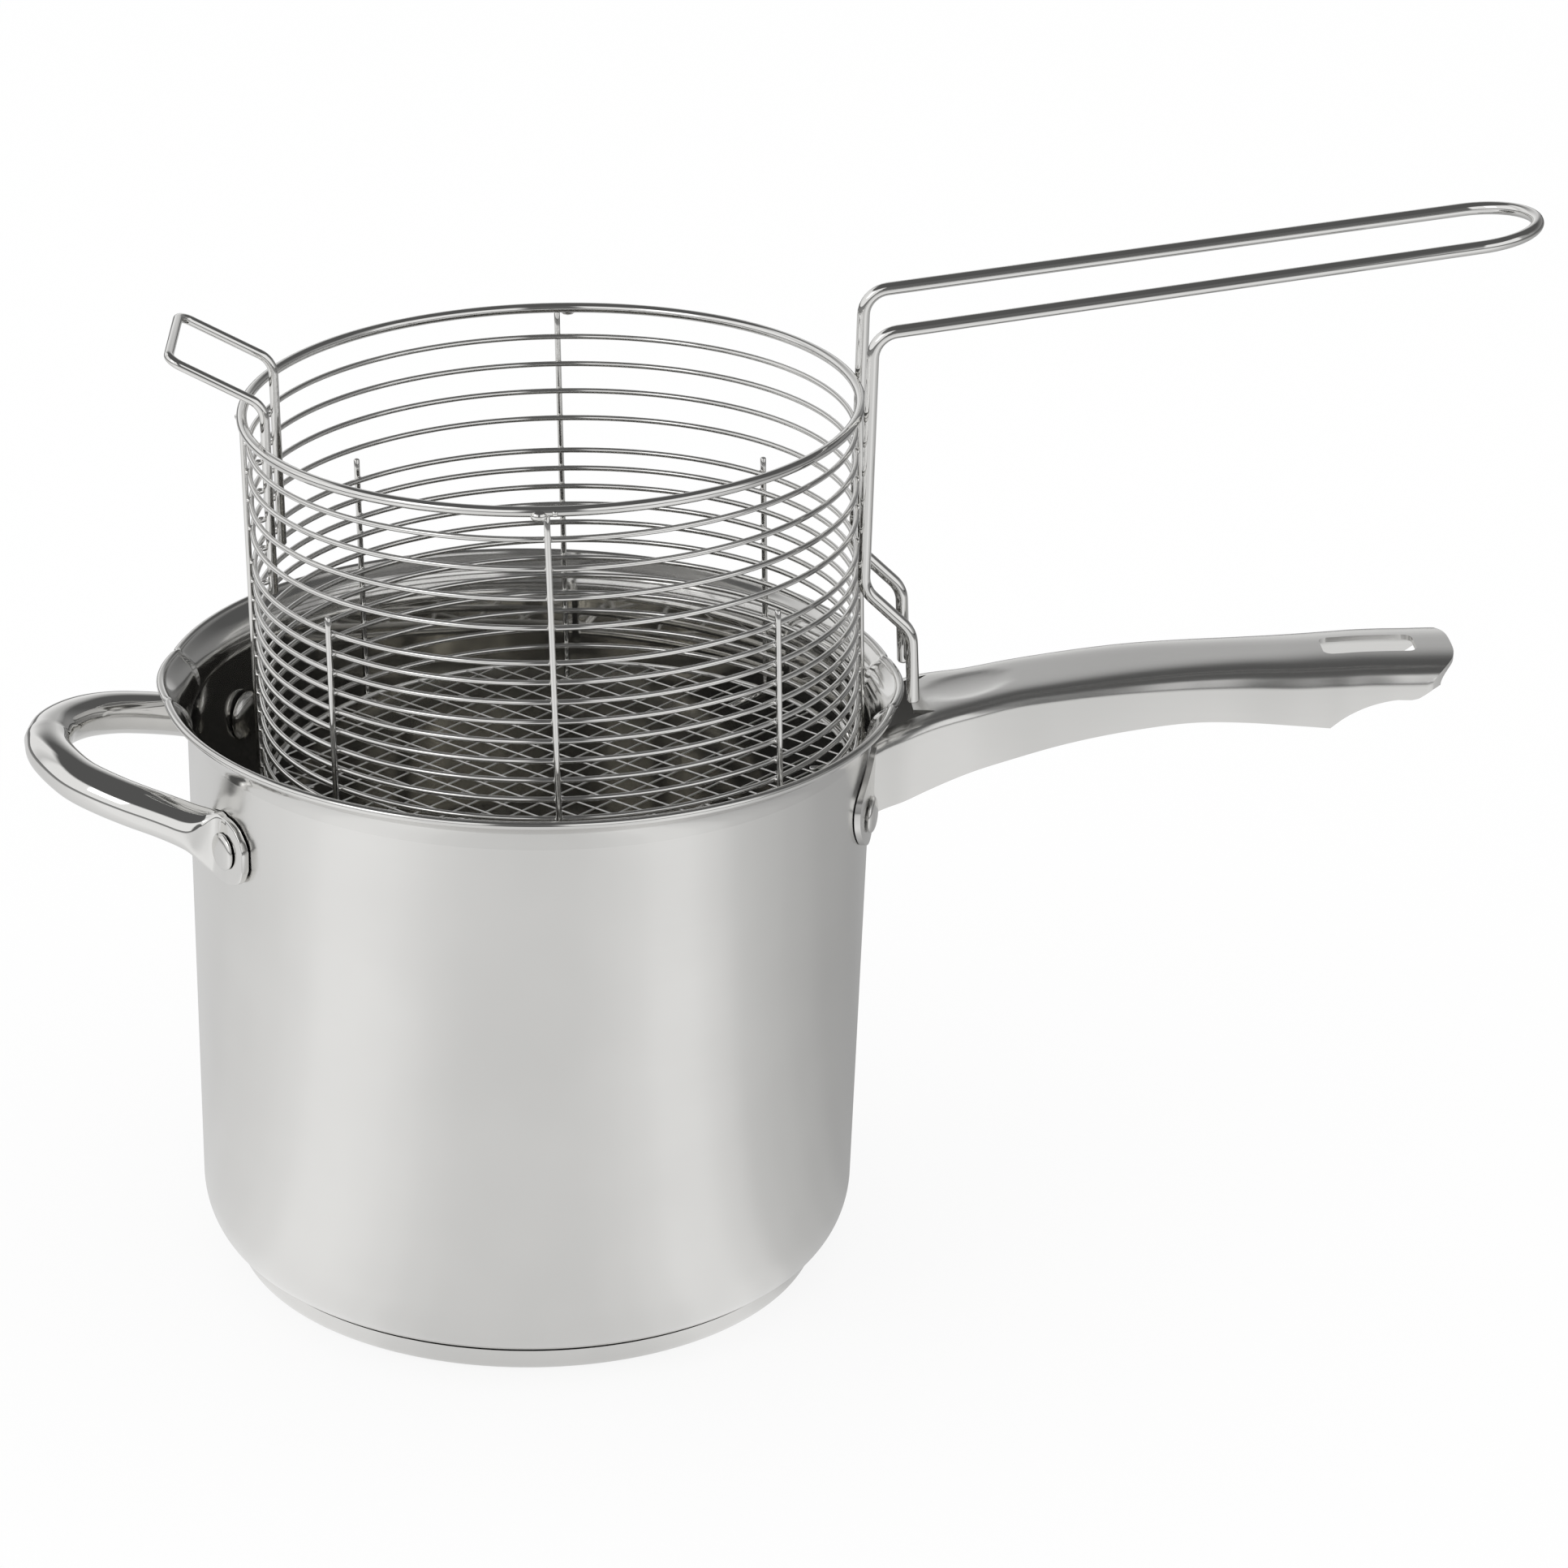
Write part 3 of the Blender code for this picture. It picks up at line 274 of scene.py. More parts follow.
satin_wall = steel("satin_wall", (0.74, 0.735, 0.72), 0.2, (9, 9, 2600), 0.1, 0.00002, 0.12)
mirror_inside = steel("mirror_inside", (0.64, 0.63, 0.60), 0.06, (30, 30, 600), 0.04, metal=0.95)
polished_lip = steel("polished_lip", (0.70, 0.695, 0.68), 0.1, (30, 30, 900), 0.05)
pot_shell = finished("pot_shell", shell_data, "pot", ["pot_body"],
                     [satin_wall, mirror_inside, polished_lip])
for face in pot_shell.data.polygons:
    outward = face.normal.x * face.center.x + face.normal.y * face.center.y
    if face.center.z > flare_start:
        face.material_index = 2
    elif outward < 0 or (face.normal.z > 0.5 and face.center.z < corner_top):
        face.material_index = 1

# ---------------------------------------------------------------------------
# Base. A thin polished cap of stainless steel pressed over an aluminium disc,
# both bonded under the pot, so a fine seam runs round the foot.
# ---------------------------------------------------------------------------
cap_radius = 88.4 * mm
cap_foot = 82.4 * mm
cap_sheet = 0.8 * mm
cap_rim = corner_top - (corner_top - floor_height) * math.sqrt(
    1 - ((cap_radius - cap_sheet - corner_foot) / (wall_radius(corner_top) - corner_foot)) ** 2
) - 0.3 * mm
cap_shares = smooth_line(((1, 1), (0.95, 0.7), (0.8, 0.36), (0.5, 0.12), (0, 0)), 6)
cap_curve = [(cap_foot + (cap_radius - cap_foot) * out, cap_rim * up) for out, up in cap_shares]
cap_inside = [(radius - cap_sheet, cap_sheet + (cap_rim - cap_sheet) * height / cap_rim)
              for radius, height in cap_curve][::-1]
cap_line = [(0, cap_sheet)] + cap_inside + cap_curve + [(0, 0)]
cap_metal = steel("cap_metal", (0.74, 0.735, 0.72), 0.24, (9, 9, 2600), 0.08)
finished("base_dish", turned("base_dish", cap_line), "pot", ["base_cap"],
         [cap_metal])
# The aluminium disc is hidden, so it keeps its CAD solid
core_metal = steel("core_metal", (0.72, 0.72, 0.73), 0.5, (60, 60, 60), 0.1)
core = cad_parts["base_core"]
core.data.materials.clear()
core.data.materials.append(core_metal)

# ---------------------------------------------------------------------------
# Rivets. Solid polished steel: a wide dome inside the wall, a small flat head
# outside each ear, two for the long handle and two for the helper handle.
# ---------------------------------------------------------------------------
rivet_height = 150 * mm
main_angles, helper_angles = (-15.8, 15.8), (149.6, 210.4)
shank = 2.5 * mm
dome_radius, dome_height, dome_sink = 7.4 * mm, 2.6 * mm, 0.3 * mm
head_radius, head_height, head_gap = 5.4 * mm, 1.6 * mm, 0.6 * mm
head_shares = smooth_line(((0, 1), (0.3, 0.985), (0.55, 0.93), (0.85, 0.68), (1, 0.3), (1, 0)), 4)
rivet_metal = steel("rivet_metal", (0.72, 0.715, 0.70), 0.16, (200, 200, 200), 0.05)


def laid_through_wall(data, angle):
    """Lay an upright turned shape through the wall, at the rivet of this angle."""
    data.transform(Matrix.Rotation(math.radians(angle), 4, "Z")
                   @ Matrix.Translation((0, 0, rivet_height))
                   @ Matrix.Rotation(math.pi / 2, 4, "Y"))
    return data


main_ear, helper_ear = 1.6 * mm, 2.4 * mm
for name, angle, thickness in (
        ("main_rivet_near", main_angles[0], main_ear),
        ("main_rivet_far", main_angles[1], main_ear),
        ("helper_rivet_near", helper_angles[1], helper_ear),
        ("helper_rivet_far", helper_angles[0], helper_ear)):
    inner_wall = wall_radius(rivet_height - dome_radius) - shell_sheet
    dome_base = math.sqrt(inner_wall ** 2 - dome_radius ** 2) - dome_sink
    head_base = wall_radius(rivet_height + head_radius) + thickness + head_gap
    rivet_line = [(head_radius * out, head_base + head_height * up) for out, up in head_shares]
    rivet_line += [(shank, head_base), (shank, dome_base)]
    rivet_line += [(dome_radius * out, dome_base - dome_height * up)
                   for out, up in head_shares[::-1]]
    finished(name + "_polished", laid_through_wall(turned(name, rivet_line, 48), angle), "pot",
             [name], [rivet_metal])

# ---------------------------------------------------------------------------
# Long handle. One blank of 1.5 mm steel, drawn into a crowned channel whose
# skirts are deepest at the root, with a thumb dimple, a hanging slot and two
# ears that wrap the wall and take the rivets.
# ---------------------------------------------------------------------------
handle_sheet = 1.5 * mm
# In mm from here on. The shoulder grows rounder from growth_start on, and the crown
# between the shoulders is flatter at the root.
root_shoulder, end_shoulder, growth_start, growth_length = 3.8, 6.2, 140, 90
root_flatness, end_flatness = 7, 3.5
# The shoulder's turn in degrees, with its cosine, sine and cotangent
shoulder_turn, turn_out, turn_up, turn_slope = 78, 0.208, 0.978, 0.2125
dimple_middle, dimple_half, dimple_side, dimple_depth = 127, 13, 9, 0.5
skirt_corner = 232.6
# Each station: along, half width, shoulder height, crown above it, skirt edge
handle_stations = (
    (92, 22, 161, 4.6, 144.9), (98, 21.6, 164, 5, 147), (102, 21.2, 166.1, 5.2, 148.8),
    (108, 20.8, 168.5, 5.4, 151), (114, 19.8, 170.5, 5.6, 153.6),
    (128, 17.1, 173.3, 6, 158.7), (140, 16.2, 176.1, 6, 162.4), (152, 16.3, 178.2, 6, 166.2),
    (176, 16.5, 181.6, 6, 171.6), (194, 16.2, 183.2, 6, 173.7), (208, 16.3, 184, 6, 173.6),
    (222, 17.2, 184.6, 6, 173), (232.6, 17.6, 185.2, 6.1, 172.3),
    (236, 17.8, 185.4, 6.1, 175.2), (241.5, 17.9, 185.7, 6.2, 178.4),
    (250.8, 18.2, 186, 6.2, 181.3), (258.4, 18.2, 186.1, 6.2, 182),
    (262, 18.2, 186.2, 6.2, 184.6), (276, 18.2, 186.4, 6.2, 186))


def read_off(table, at):
    """Read a table of stations smoothly at any place along it."""
    table = np.array(table, float)
    places, values = table[:, 0], table[:, 1:]
    steps = np.diff(places)[:, None]
    rises = np.diff(values, axis=0) / steps
    slopes = np.vstack([rises[:1], (rises[:-1] * steps[1:] + rises[1:] * steps[:-1])
                        / (steps[:-1] + steps[1:]), rises[-1:]])
    row = int(np.clip(np.searchsorted(places, at) - 1, 0, len(steps) - 1))
    t = (at - places[row]) / steps[row, 0]
    return (values[row] * (2 * t ** 3 - 3 * t ** 2 + 1)
            + values[row + 1] * (3 * t ** 2 - 2 * t ** 3)
            + steps[row] * (slopes[row] * (t ** 3 - 2 * t ** 2 + t)
                            + slopes[row + 1] * (t ** 3 - t ** 2)))


def skirt_edge(along):
    """Lower edge of the skirt, smooth up to and from its lowest corner near the end."""
    if along <= skirt_corner:
        return read_off([row[::4] for row in handle_stations[:13]], along)[0]
    return read_off([row[::4] for row in handle_stations[12:]], along)[0]


def handle_loop(along, inset, lower=0):
    """Loop across the channel, moved inward by inset, its feet lowered by lower."""
    half_width, shoulder, crown, _ = read_off(handle_stations, along)
    half_width -= inset
    growth = min(max((along - growth_start) / growth_length, 0), 1)
    shoulder_radius = (root_shoulder + (end_shoulder - root_shoulder)
                       * growth ** 2 * (3 - 2 * growth) - inset)
    centre = half_width - shoulder_radius
    crown_end = centre + turn_out * shoulder_radius
    flatness = root_flatness + (end_flatness - root_flatness) * growth
    crown_drop = turn_slope / flatness * crown_end
    side_foot = -crown_drop - turn_up * shoulder_radius
    top = shoulder + crown - inset
    section = [(-half_width, min(skirt_edge(along) - top, side_foot - 0.1) - lower)]
    section += [(-centre - shoulder_radius * math.cos(turn),
                 side_foot + shoulder_radius * math.sin(turn))
                for turn in np.radians(np.linspace(0, shoulder_turn, 15))[:-1]]
    section += [(across, -crown_drop * abs(across / crown_end) ** flatness)
                for across in np.linspace(-crown_end, 0, 14)]
    section += [(-across, drop) for across, drop in section[-2::-1]]
    loop = []
    for across, drop in section:
        dimple = max(0, 1 - ((along - dimple_middle) / dimple_half) ** 2
                     - (across / dimple_side) ** 2)
        loop.append(Vector((along, across, top + drop - dimple_depth * dimple ** 0.6)))
    return [point * mm for point in loop]


def cutter(name, data):
    """Make a shape for cutting, which is removed once it is used."""
    piece = bpy.data.objects.new(name, closed_up(data))
    bpy.context.scene.collection.objects.link(piece)
    return piece


def worked(target, tools, operation):
    """Cut, join or intersect a shape with tools, which it uses up; return the new mesh."""
    for tool in tools:
        step = target.modifiers.new(operation, "BOOLEAN")
        step.operation = operation
        step.solver = "EXACT"
        step.object = tool
    bpy.context.view_layer.update()
    graph = bpy.context.evaluated_depsgraph_get()
    data = bpy.data.meshes.new_from_object(target.evaluated_get(graph), depsgraph=graph)
    target.modifiers.clear()
    target.data = closed_up(data)
    for tool in tools:
        bpy.data.objects.remove(tool)
    return data


def slab(name, outline, low, high, upright=True):
    """Extrude an outline along Z from (x, y), or along X from (y, z)."""
    return cutter(name, skin(name, [
        [Vector((a, b, level)) if upright else Vector((level, a, b)) for a, b in outline]
        for level in (low, high)], caps=True))


def signed_power(value, power):
    """Raise a value to a power and keep its sign."""
    return math.copysign(abs(value) ** power, value)


cut_margin = 6 * mm
stations = sorted({*np.arange(92, 276.1, 2.0), skirt_corner, 276})
channel = cutter("channel", skin("channel", [handle_loop(along, 0) for along in stations],
                                 caps=True))
hollow_loops = [handle_loop(along, handle_sheet / mm, cut_margin / mm) for along in stations]
hollow_loops[0] = [point - Vector((cut_margin, 0, 0)) for point in hollow_loops[0]]
hollow_loops[-1] = [point + Vector((cut_margin, 0, 0)) for point in hollow_loops[-1]]
hollow = cutter("hollow", skin("hollow", hollow_loops, caps=True))
# The rounded end, the notch that clears the pot's lip, and the hanging slot, from above
end_start, end_reach, end_half, end_power, blank_half = 250, 19.8, 19.6, 0.667, 46
end_plan = [(0, -blank_half * mm), (end_start * mm, -blank_half * mm)]
end_plan += [((end_start + end_reach * signed_power(math.cos(turn), end_power)) * mm,
              end_half * mm * signed_power(math.sin(turn), end_power))
             for turn in np.linspace(-math.pi / 2, math.pi / 2, 65)]
end_plan += [(end_start * mm, blank_half * mm), (0, blank_half * mm)]
notch_half = [(90 * mm, 14 * mm), (104 * mm, 15 * mm), (117 * mm, 14 * mm), (111 * mm, 9 * mm)]
notch_plan = notch_half + [(along, -side) for along, side in notch_half[::-1]]
slot_middle, slot_half, slot_side, slot_corner = 245.3, 11, 3.6, 2.8
slot_plan = []
for corner, (along, across) in enumerate(((1, 1), (-1, 1), (-1, -1), (1, -1))):
    for turn in np.linspace(0, math.pi / 2, 9):
        turn += math.pi / 2 * corner
        slot_plan.append(((slot_middle + along * slot_half + slot_corner * math.cos(turn)) * mm,
                          (across * slot_side + slot_corner * math.sin(turn)) * mm))
cut_low, cut_high, notch_floor, slot_floor = 0.12, 0.23, 0.163, 0.17
worked(channel, [hollow], "DIFFERENCE")
worked(channel, [slab("end_plan", end_plan, cut_low, cut_high)], "INTERSECT")
worked(channel, [slab("notch", notch_plan, notch_floor, cut_high),
                 slab("slot", slot_plan, slot_floor, cut_high)], "DIFFERENCE")
# Ears: flat outlines, as (across, height) in mm, wrapped round the wall
ear_outline = (
    (18.6, 146.5), (21, 142.8), (25, 140.6), (29.5, 141), (34, 144), (37.6, 148.8),
    (38.8, 153.5), (37.8, 157.4), (34.5, 160.4), (29.5, 163.6), (24.5, 166.6), (19.4, 168.4))
ear_top, ear_foot, ear_inside, ear_outside = 170.4 * mm, 136 * mm, 0.15 * mm, 1.9 * mm
ear_line = [(wall_radius(height) + lift, height) for height, lift in (
    (ear_top, ear_inside), (ear_top, ear_outside), (ear_foot, ear_outside),
    (ear_foot, ear_inside), (ear_top, ear_inside))]
ears = []
for side in (-1, 1):
    band = cutter("band", turned("band", ear_line))
    plate = slab("plate", [(side * across * mm, height * mm)
                           for across, height in smooth_line(ear_outline, 4)],
                 0.08, 0.106, False)
    worked(plate, [band], "INTERSECT")
    ears.append(plate)
worked(channel, ears, "UNION")
wall_gap, bore_radius, bore_start, bore_end = 0.3 * mm, shank + 0.3 * mm, 0.09, 0.112
wall_line = [(0, flare_start), (wall_radius(flare_start) + wall_gap, flare_start),
             (wall_radius(cut_low) + wall_gap, cut_low), (0, cut_low)]
bore_line = [(0, bore_end), (bore_radius, bore_end), (bore_radius, bore_start), (0, bore_start)]


def fitted_to_wall(blank, rivet_angles):
    """Trim a handle's blank to the wall, pierce it for its rivets and return its mesh."""
    tools = [cutter("wall", turned("wall", wall_line))]
    tools += [cutter("bore", laid_through_wall(turned("bore", bore_line, 32), angle))
              for angle in rivet_angles]
    data = worked(blank, tools, "DIFFERENCE")
    bpy.data.objects.remove(blank)
    return data


# Polished along its length outside; inside the root, rougher steel with painted shade, a near-black
# colour where the channel lies in shade
satin_handle = steel("satin_handle", (0.70, 0.695, 0.68), 0.22, (12, 1600, 1600), 0.08,
                     0.00002, 0.06)
handle_painted_shade = steel("handle_painted_shade", (0.12, 0.118, 0.113), 0.5, (60, 60, 60), 0.1)
long_handle = finished("long_handle", fitted_to_wall(channel, main_angles), "pot",
                       ["main_handle"], [satin_handle, handle_painted_shade], 32)
# The painted shade runs from the wall to this end, over the inner faces of the skirts and under the
# crown
painted_shade_end, inside_skirt, inside_crown = 160 * mm, 9 * mm, 14.5 * mm
# Faces that look into the channel near the root take the near-black painted shade
for face in long_handle.data.polygons:
    off_middle = abs(face.center.y)
    toward_middle = -face.normal.y * math.copysign(1, face.center.y)
    if face.center.x < painted_shade_end and ((toward_middle > 0.5 and off_middle > inside_skirt) or (
            face.normal.z < -0.5 and off_middle < inside_crown)):
        face.material_index = 1

# ---------------------------------------------------------------------------
# Helper handle. A polished oval tube bent into a loop, its ends pinched flat
# into two round ears that lie on the wall under their rivets.
# ---------------------------------------------------------------------------
# Each station: x, y, height, half width and half height, in mm, and the power of the
# section, which is 1 for an oval and less for a squarer one
helper_stations = (
    (-140.3, 0, 162.6, 6.8, 6.2, 1), (-138.9, 9, 162.4, 6.8, 6.2, 1),
    (-135, 17.5, 161.6, 6.8, 6.2, 1), (-129.5, 25, 160.3, 6.9, 6.2, 1),
    (-122, 30.8, 158.8, 7, 6.2, 1), (-114, 34.9, 157, 7, 6.2, 1),
    (-106.5, 37.8, 155.3, 7, 6.2, 1), (-101.8, 39.6, 154.1, 7, 6.3, 1),
    (-98.5, 40.9, 153.2, 7, 6.5, 1), (-95.6, 42.1, 152.4, 6.6, 7, 0.95),
    (-93.3, 43.3, 151.6, 5.2, 8, 0.85), (-91.4, 44.9, 150.9, 3.2, 9.2, 0.6),
    (-89.8, 46.8, 150.4, 1.7, 9.9, 0.4), (-88.4, 49.1, 149.9, 1.2, 10, 0.3),
    (-86.4, 52.5, 149.8, 1.2, 9.8, 0.3),
    (-84.2, 55.9, 149.6, 1.2, 8.3, 0.3), (-82.8, 58, 149.6, 1.2, 6, 0.3),
    (-82.1, 59, 149.6, 1.2, 3.4, 0.3))
tip_to_ear = smooth_line(helper_stations, 6)
whole_path = [row * (1, -1, 1, 1, 1, 1) for row in tip_to_ear[:0:-1]] + tip_to_ear
helper_loops = []
for index, row in enumerate(whole_path):
    before = Vector(whole_path[max(index - 1, 0)][:3])
    after = Vector(whole_path[min(index + 1, len(whole_path) - 1)][:3])
    heading = (after - before).normalized()
    across = Vector((heading.y, -heading.x, 0)).normalized()
    upward = across.cross(heading).normalized()
    width, rise, power = row[3:]
    helper_loops.append([
        (Vector(row[:3]) + across * width * signed_power(math.cos(turn), power)
         + upward * rise * signed_power(math.sin(turn), power)) * mm
        for turn in np.linspace(0, math.tau, 48, endpoint=False)])
loop_piece = cutter("helper_loop", skin("helper_loop", helper_loops, caps=True))
mirror_tube = steel("mirror_tube", (0.74, 0.735, 0.72), 0.05, (60, 60, 60), 0.03)
finished("helper_loop", fitted_to_wall(loop_piece, helper_angles), "pot", ["helper_handle"],
         [mirror_tube], 40)

# ---------------------------------------------------------------------------
# Basket rings. Bright drawn steel wire: seventeen thin rings, close together
# below and wider apart above, and a thicker ring that forms the rim.
# ---------------------------------------------------------------------------
tilt = math.radians(2.05)
basket_place = Matrix.Translation((9.35 * mm, 0, 149.6 * mm)) @ Matrix.Rotation(-tilt, 4, "Y")
ring_radius, thin_wire = 86.6 * mm, 0.82 * mm
rim_radius, rim_wire, rim_height = 88.1 * mm, 1.5 * mm, 116.35 * mm
wide_pitch, close_pitch, lowest_ring = 8.6 * mm, 5.8 * mm, 2 * mm


def drawn_wire(name, path, wire_radius, closed=False, sides=12):
    """Round wire along a path in the basket's own frame, without twist, with round ends."""
    path = [Vector(point) for point in path]
    count = len(path)
    loops = []
    lift = None
    for index, point in enumerate(path):
        before = path[index - 1] if closed or index else point
        after = path[(index + 1) % count] if closed or index < count - 1 else point
        heading = (after - before).normalized()
        if lift is None:
            lift = Vector((0, 0, 1)) if abs(heading.z) < 0.9 else Vector((0, 1, 0))
        lift = (lift - heading * lift.dot(heading)).normalized()
        beside = heading.cross(lift)
        loops.append([point + (lift * math.cos(turn) + beside * math.sin(turn)) * wire_radius
                      for turn in np.linspace(0, math.tau, sides, endpoint=False)])
    if not closed:
        for end, index in ((-1, 0), (1, -1)):
            heading = (path[index] - path[index - end]).normalized()
            inner = loops[index]
            for share, out in ((0.8, 0.55), (0.45, 0.85)):
                shrunk = [path[index] + heading * wire_radius * out * 0.6
                          + (point - path[index]) * share for point in inner]
                loops.insert(0 if end < 0 else len(loops), shrunk)
    data = skin(name, loops, closed, not closed)
    data.transform(basket_place)
    return data


def circle(radius, height, count=144):
    """Points round a level ring."""
    return [(radius * math.cos(math.tau * step / count),
             radius * math.sin(math.tau * step / count), height) for step in range(count)]


wire_metal = steel("wire_metal", (0.74, 0.735, 0.72), 0.06, (40, 40, 40), 0.02)
finished("rim_wire", drawn_wire("rim_wire", circle(rim_radius, rim_height), rim_wire, True, 20),
         "basket", ["top_ring"], [wire_metal], 60)
ring_heights = [rim_height - wide_pitch * step for step in range(1, 5)]
ring_heights += [lowest_ring + close_pitch * step for step in range(12, -1, -1)]
for number, level in enumerate(ring_heights, 1):
    finished(f"thin_ring_{number:02d}",
             drawn_wire("thin_ring", circle(ring_radius, level), thin_wire, True, 12),
             "basket", [f"ring_{number:02d}"], [wire_metal], 60)

# ---------------------------------------------------------------------------
# Ribs. Straight wires spot-welded outside the rings and turned in under the
# floor net: four run up to the rim, four shorter ones stop part way.
# ---------------------------------------------------------------------------
rib_wire, weld_depth, rib_end = 0.88 * mm, 0.2 * mm, 73 * mm
rib_radius = ring_radius + thin_wire + rib_wire - weld_depth
rib_foot = lowest_ring - thin_wire - rib_wire + weld_depth
rib_bend = rib_radius - ring_radius
rib_top, nub_radius = rim_height - rim_wire, ring_radius + 0.55 * mm
nub_size = (1.25 * mm, 1.35 * mm, 0.98 * mm)


def spot_weld(shape, angle, radius, level, size):
    """Add one small bead of weld metal; its size runs outward, across and up."""
    made = bmesh.ops.create_icosphere(shape, subdivisions=2, radius=1)
    bmesh.ops.transform(shape, verts=made["verts"], matrix=(
        basket_place @ Matrix.Rotation(math.radians(angle), 4, "Z")
        @ Matrix.Translation((radius, 0, level)) @ Matrix.Diagonal((*size, 1))))


# Each rib: its angle, how far it leans by the top, in degrees, and where it ends
for name, angle, lean, top in (
        ("rib_right", 0, 0, rib_top), ("rib_back", 87.3, 0, rib_top),
        ("rib_left", 180, 0, rib_top), ("rib_front", -91.8, -0.8, rib_top),
        ("short_rib_far_right", 43.5, 0, 76 * mm), ("short_rib_far_left", 130.6, 0, 77.6 * mm),
        ("short_rib_near_left", -137.4, 0, 76.6 * mm), ("short_rib_near_right", -47.3, 0, 76 * mm)):
    out = Vector((math.cos(math.radians(angle)), math.sin(math.radians(angle)), 0))
    path = [Matrix.Rotation(math.radians(lean * level / rim_height), 3, "Z") @ out * rib_radius
            + Vector((0, 0, level)) for level in np.linspace(top, rib_foot + rib_bend, 24)]
    path += [out * (rib_radius - rib_bend * (1 - math.cos(turn)))
             + Vector((0, 0, rib_foot + rib_bend * (1 - math.sin(turn))))
             for turn in np.linspace(0, math.pi / 2, 9)[1:]]
    path += [out * radius + Vector((0, 0, rib_foot))
             for radius in np.linspace(rib_radius - rib_bend, rib_end, 6)[1:]]
    data = drawn_wire(name, path, rib_wire, False, 14)
    shape = bmesh.new()
    shape.from_mesh(data)
    for level in ring_heights:
        if level < top:
            spot_weld(shape, angle + lean * level / rim_height, nub_radius, level, nub_size)
    # Two beads hold a full rib to the rim wire, flatter ones at the left and right
    if top == rib_top:
        proud = 0.9 * mm if abs(out.y) > 0.5 else 0.1 * mm
        spot_weld(shape, angle - 2.1, rim_radius + proud, rim_height - 0.9 * mm,
                  (1 * mm + proud, 2.5 * mm, 1.7 * mm))
        spot_weld(shape, angle + 0.7, rim_radius + 0.7 * mm, rim_height - 0.3 * mm,
                  (1.3 * mm, 1 * mm, 1.1 * mm))
    shape.to_mesh(data)
    shape.free()
    finished(name + "_wire", data, "basket", [name], [wire_metal], 60)

# ---------------------------------------------------------------------------
# Floor net. Two layers of fine straight steel wires crossed at 45 degrees, the
# upper one painted lighter as lit and the lower one darker as in shade, welded to a round rim
# inside the lowest ring.
# ---------------------------------------------------------------------------
net_pitch, net_wire, net_level = 7.5 * mm, 0.29 * mm, 3.1 * mm
net_radius, net_rim, net_inset = 84.6 * mm, 0.6 * mm, 0.5 * mm
net_data = bpy.data.meshes.new("woven_net")
weave = bmesh.new()
for layer, lift in ((1, -net_wire), (0, net_wire)):
    for number in range(-11, 12):
        offset = (number + 0.5 * layer) * net_pitch
        if abs(offset) > net_radius - 2 * net_inset:
            continue
        half = math.sqrt((net_radius - net_inset) ** 2 - offset ** 2)
        ends = [Matrix.Rotation(math.radians(-45 + 90 * layer), 3, "Z")
                @ Vector((along, offset, net_level + lift)) for along in (-half, half)]
        wire_data = drawn_wire("net_wire", ends, net_wire, False, 8)
        wire_data.polygons.foreach_set("material_index", [layer] * len(wire_data.polygons))
        weave.from_mesh(wire_data)
weave.from_mesh(drawn_wire("net_rim", circle(net_radius, net_level), net_rim, True, 10))
weave.to_mesh(net_data)
weave.free()
# Lit and shaded copies of one steel: the upper layer's colour is painted lighter, the lower layer's
# darker as in shade
net_painted_light = steel("net_painted_light", (0.86, 0.855, 0.84), 0.15, (40, 40, 40), 0.03, metal=0.6)
net_painted_shade = steel("net_painted_shade", (0.80, 0.795, 0.78), 0.3, (40, 40, 40), 0.03, metal=0.85)
finished("woven_net", net_data, "basket", ["floor_net"],
         [net_painted_light, net_painted_shade], 60)

# ---------------------------------------------------------------------------
# Basket handle. One thick polished wire: its two legs are welded up the
# rings, step out over the pot's rim, hook down outside it, and run out above
# into a long narrow grip with a round end.
# ---------------------------------------------------------------------------


def bent(corners, bends, steps=10):
    """Round the inner corners of a path with arcs of the given radii."""
    points = [corners[0]]
    for corner, before, after, bend in zip(corners[1:], corners, corners[2:], bends):
        back = (before - corner).normalized()
        ahead = (after - corner).normalized()
        half = back.angle(ahead) / 2
        reach = bend / math.tan(half)
        centre = corner + (back + ahead).normalized() * (bend / math.sin(half))
        start = corner + back * reach - centre
        end = corner + ahead * reach - centre
        sweep = start.angle(end)
        for share in np.linspace(0, 1, steps):
            points.append(centre + (start * math.sin(sweep * (1 - share))
                                    + end * math.sin(sweep * share)) / math.sin(sweep))
    return points + [corners[-1]]


grip_wire, grip_end, leg_side = 1.85 * mm, 18.7 * mm, 19.5
handle_turn = Matrix.Rotation(math.radians(-1), 3, "Z")
legs = []
# Each leg, in mm: its side, how far its step is lowered, its foot's and end's heights.
# Its corners are its foot, the outer and inner ends of the step, the knee and the end.
for side, drop, foot, end_height in ((-1, 1.2, 30.2, 161.8), (1, 2.8, 27, 161.2)):
    corners = [Vector((along * mm, side * across * mm, height * mm)) for along, across, height in (
        (101.7, leg_side, foot), (101.2, leg_side, 52.4 - drop), (87.5, leg_side, 66 - drop),
        (90.7, leg_side, 141), (262.1, grip_end / mm, end_height))]
    legs.append(bent(corners, [9 * mm, 9 * mm, 8 * mm]))
slope = (legs[0][-1] - legs[0][-2] + legs[1][-1] - legs[1][-2]).normalized()
middle = (legs[0][-1] + legs[1][-1]) / 2
across = (legs[1][-1] - legs[0][-1]) / 2
grip = [middle + slope * (grip_end * math.cos(turn)) + across * math.sin(turn)
        for turn in np.linspace(-math.pi / 2, math.pi / 2, 33)[1:-1]]
grip_path = [handle_turn @ point for point in legs[0] + grip + legs[1][::-1]]
grip_metal = steel("grip_metal", (0.74, 0.735, 0.72), 0.05, (40, 40, 40), 0.02)
finished("grip_wire", drawn_wire("grip_wire", grip_path, grip_wire, False, 24),
         "basket", ["basket_handle"], [grip_metal], 60)

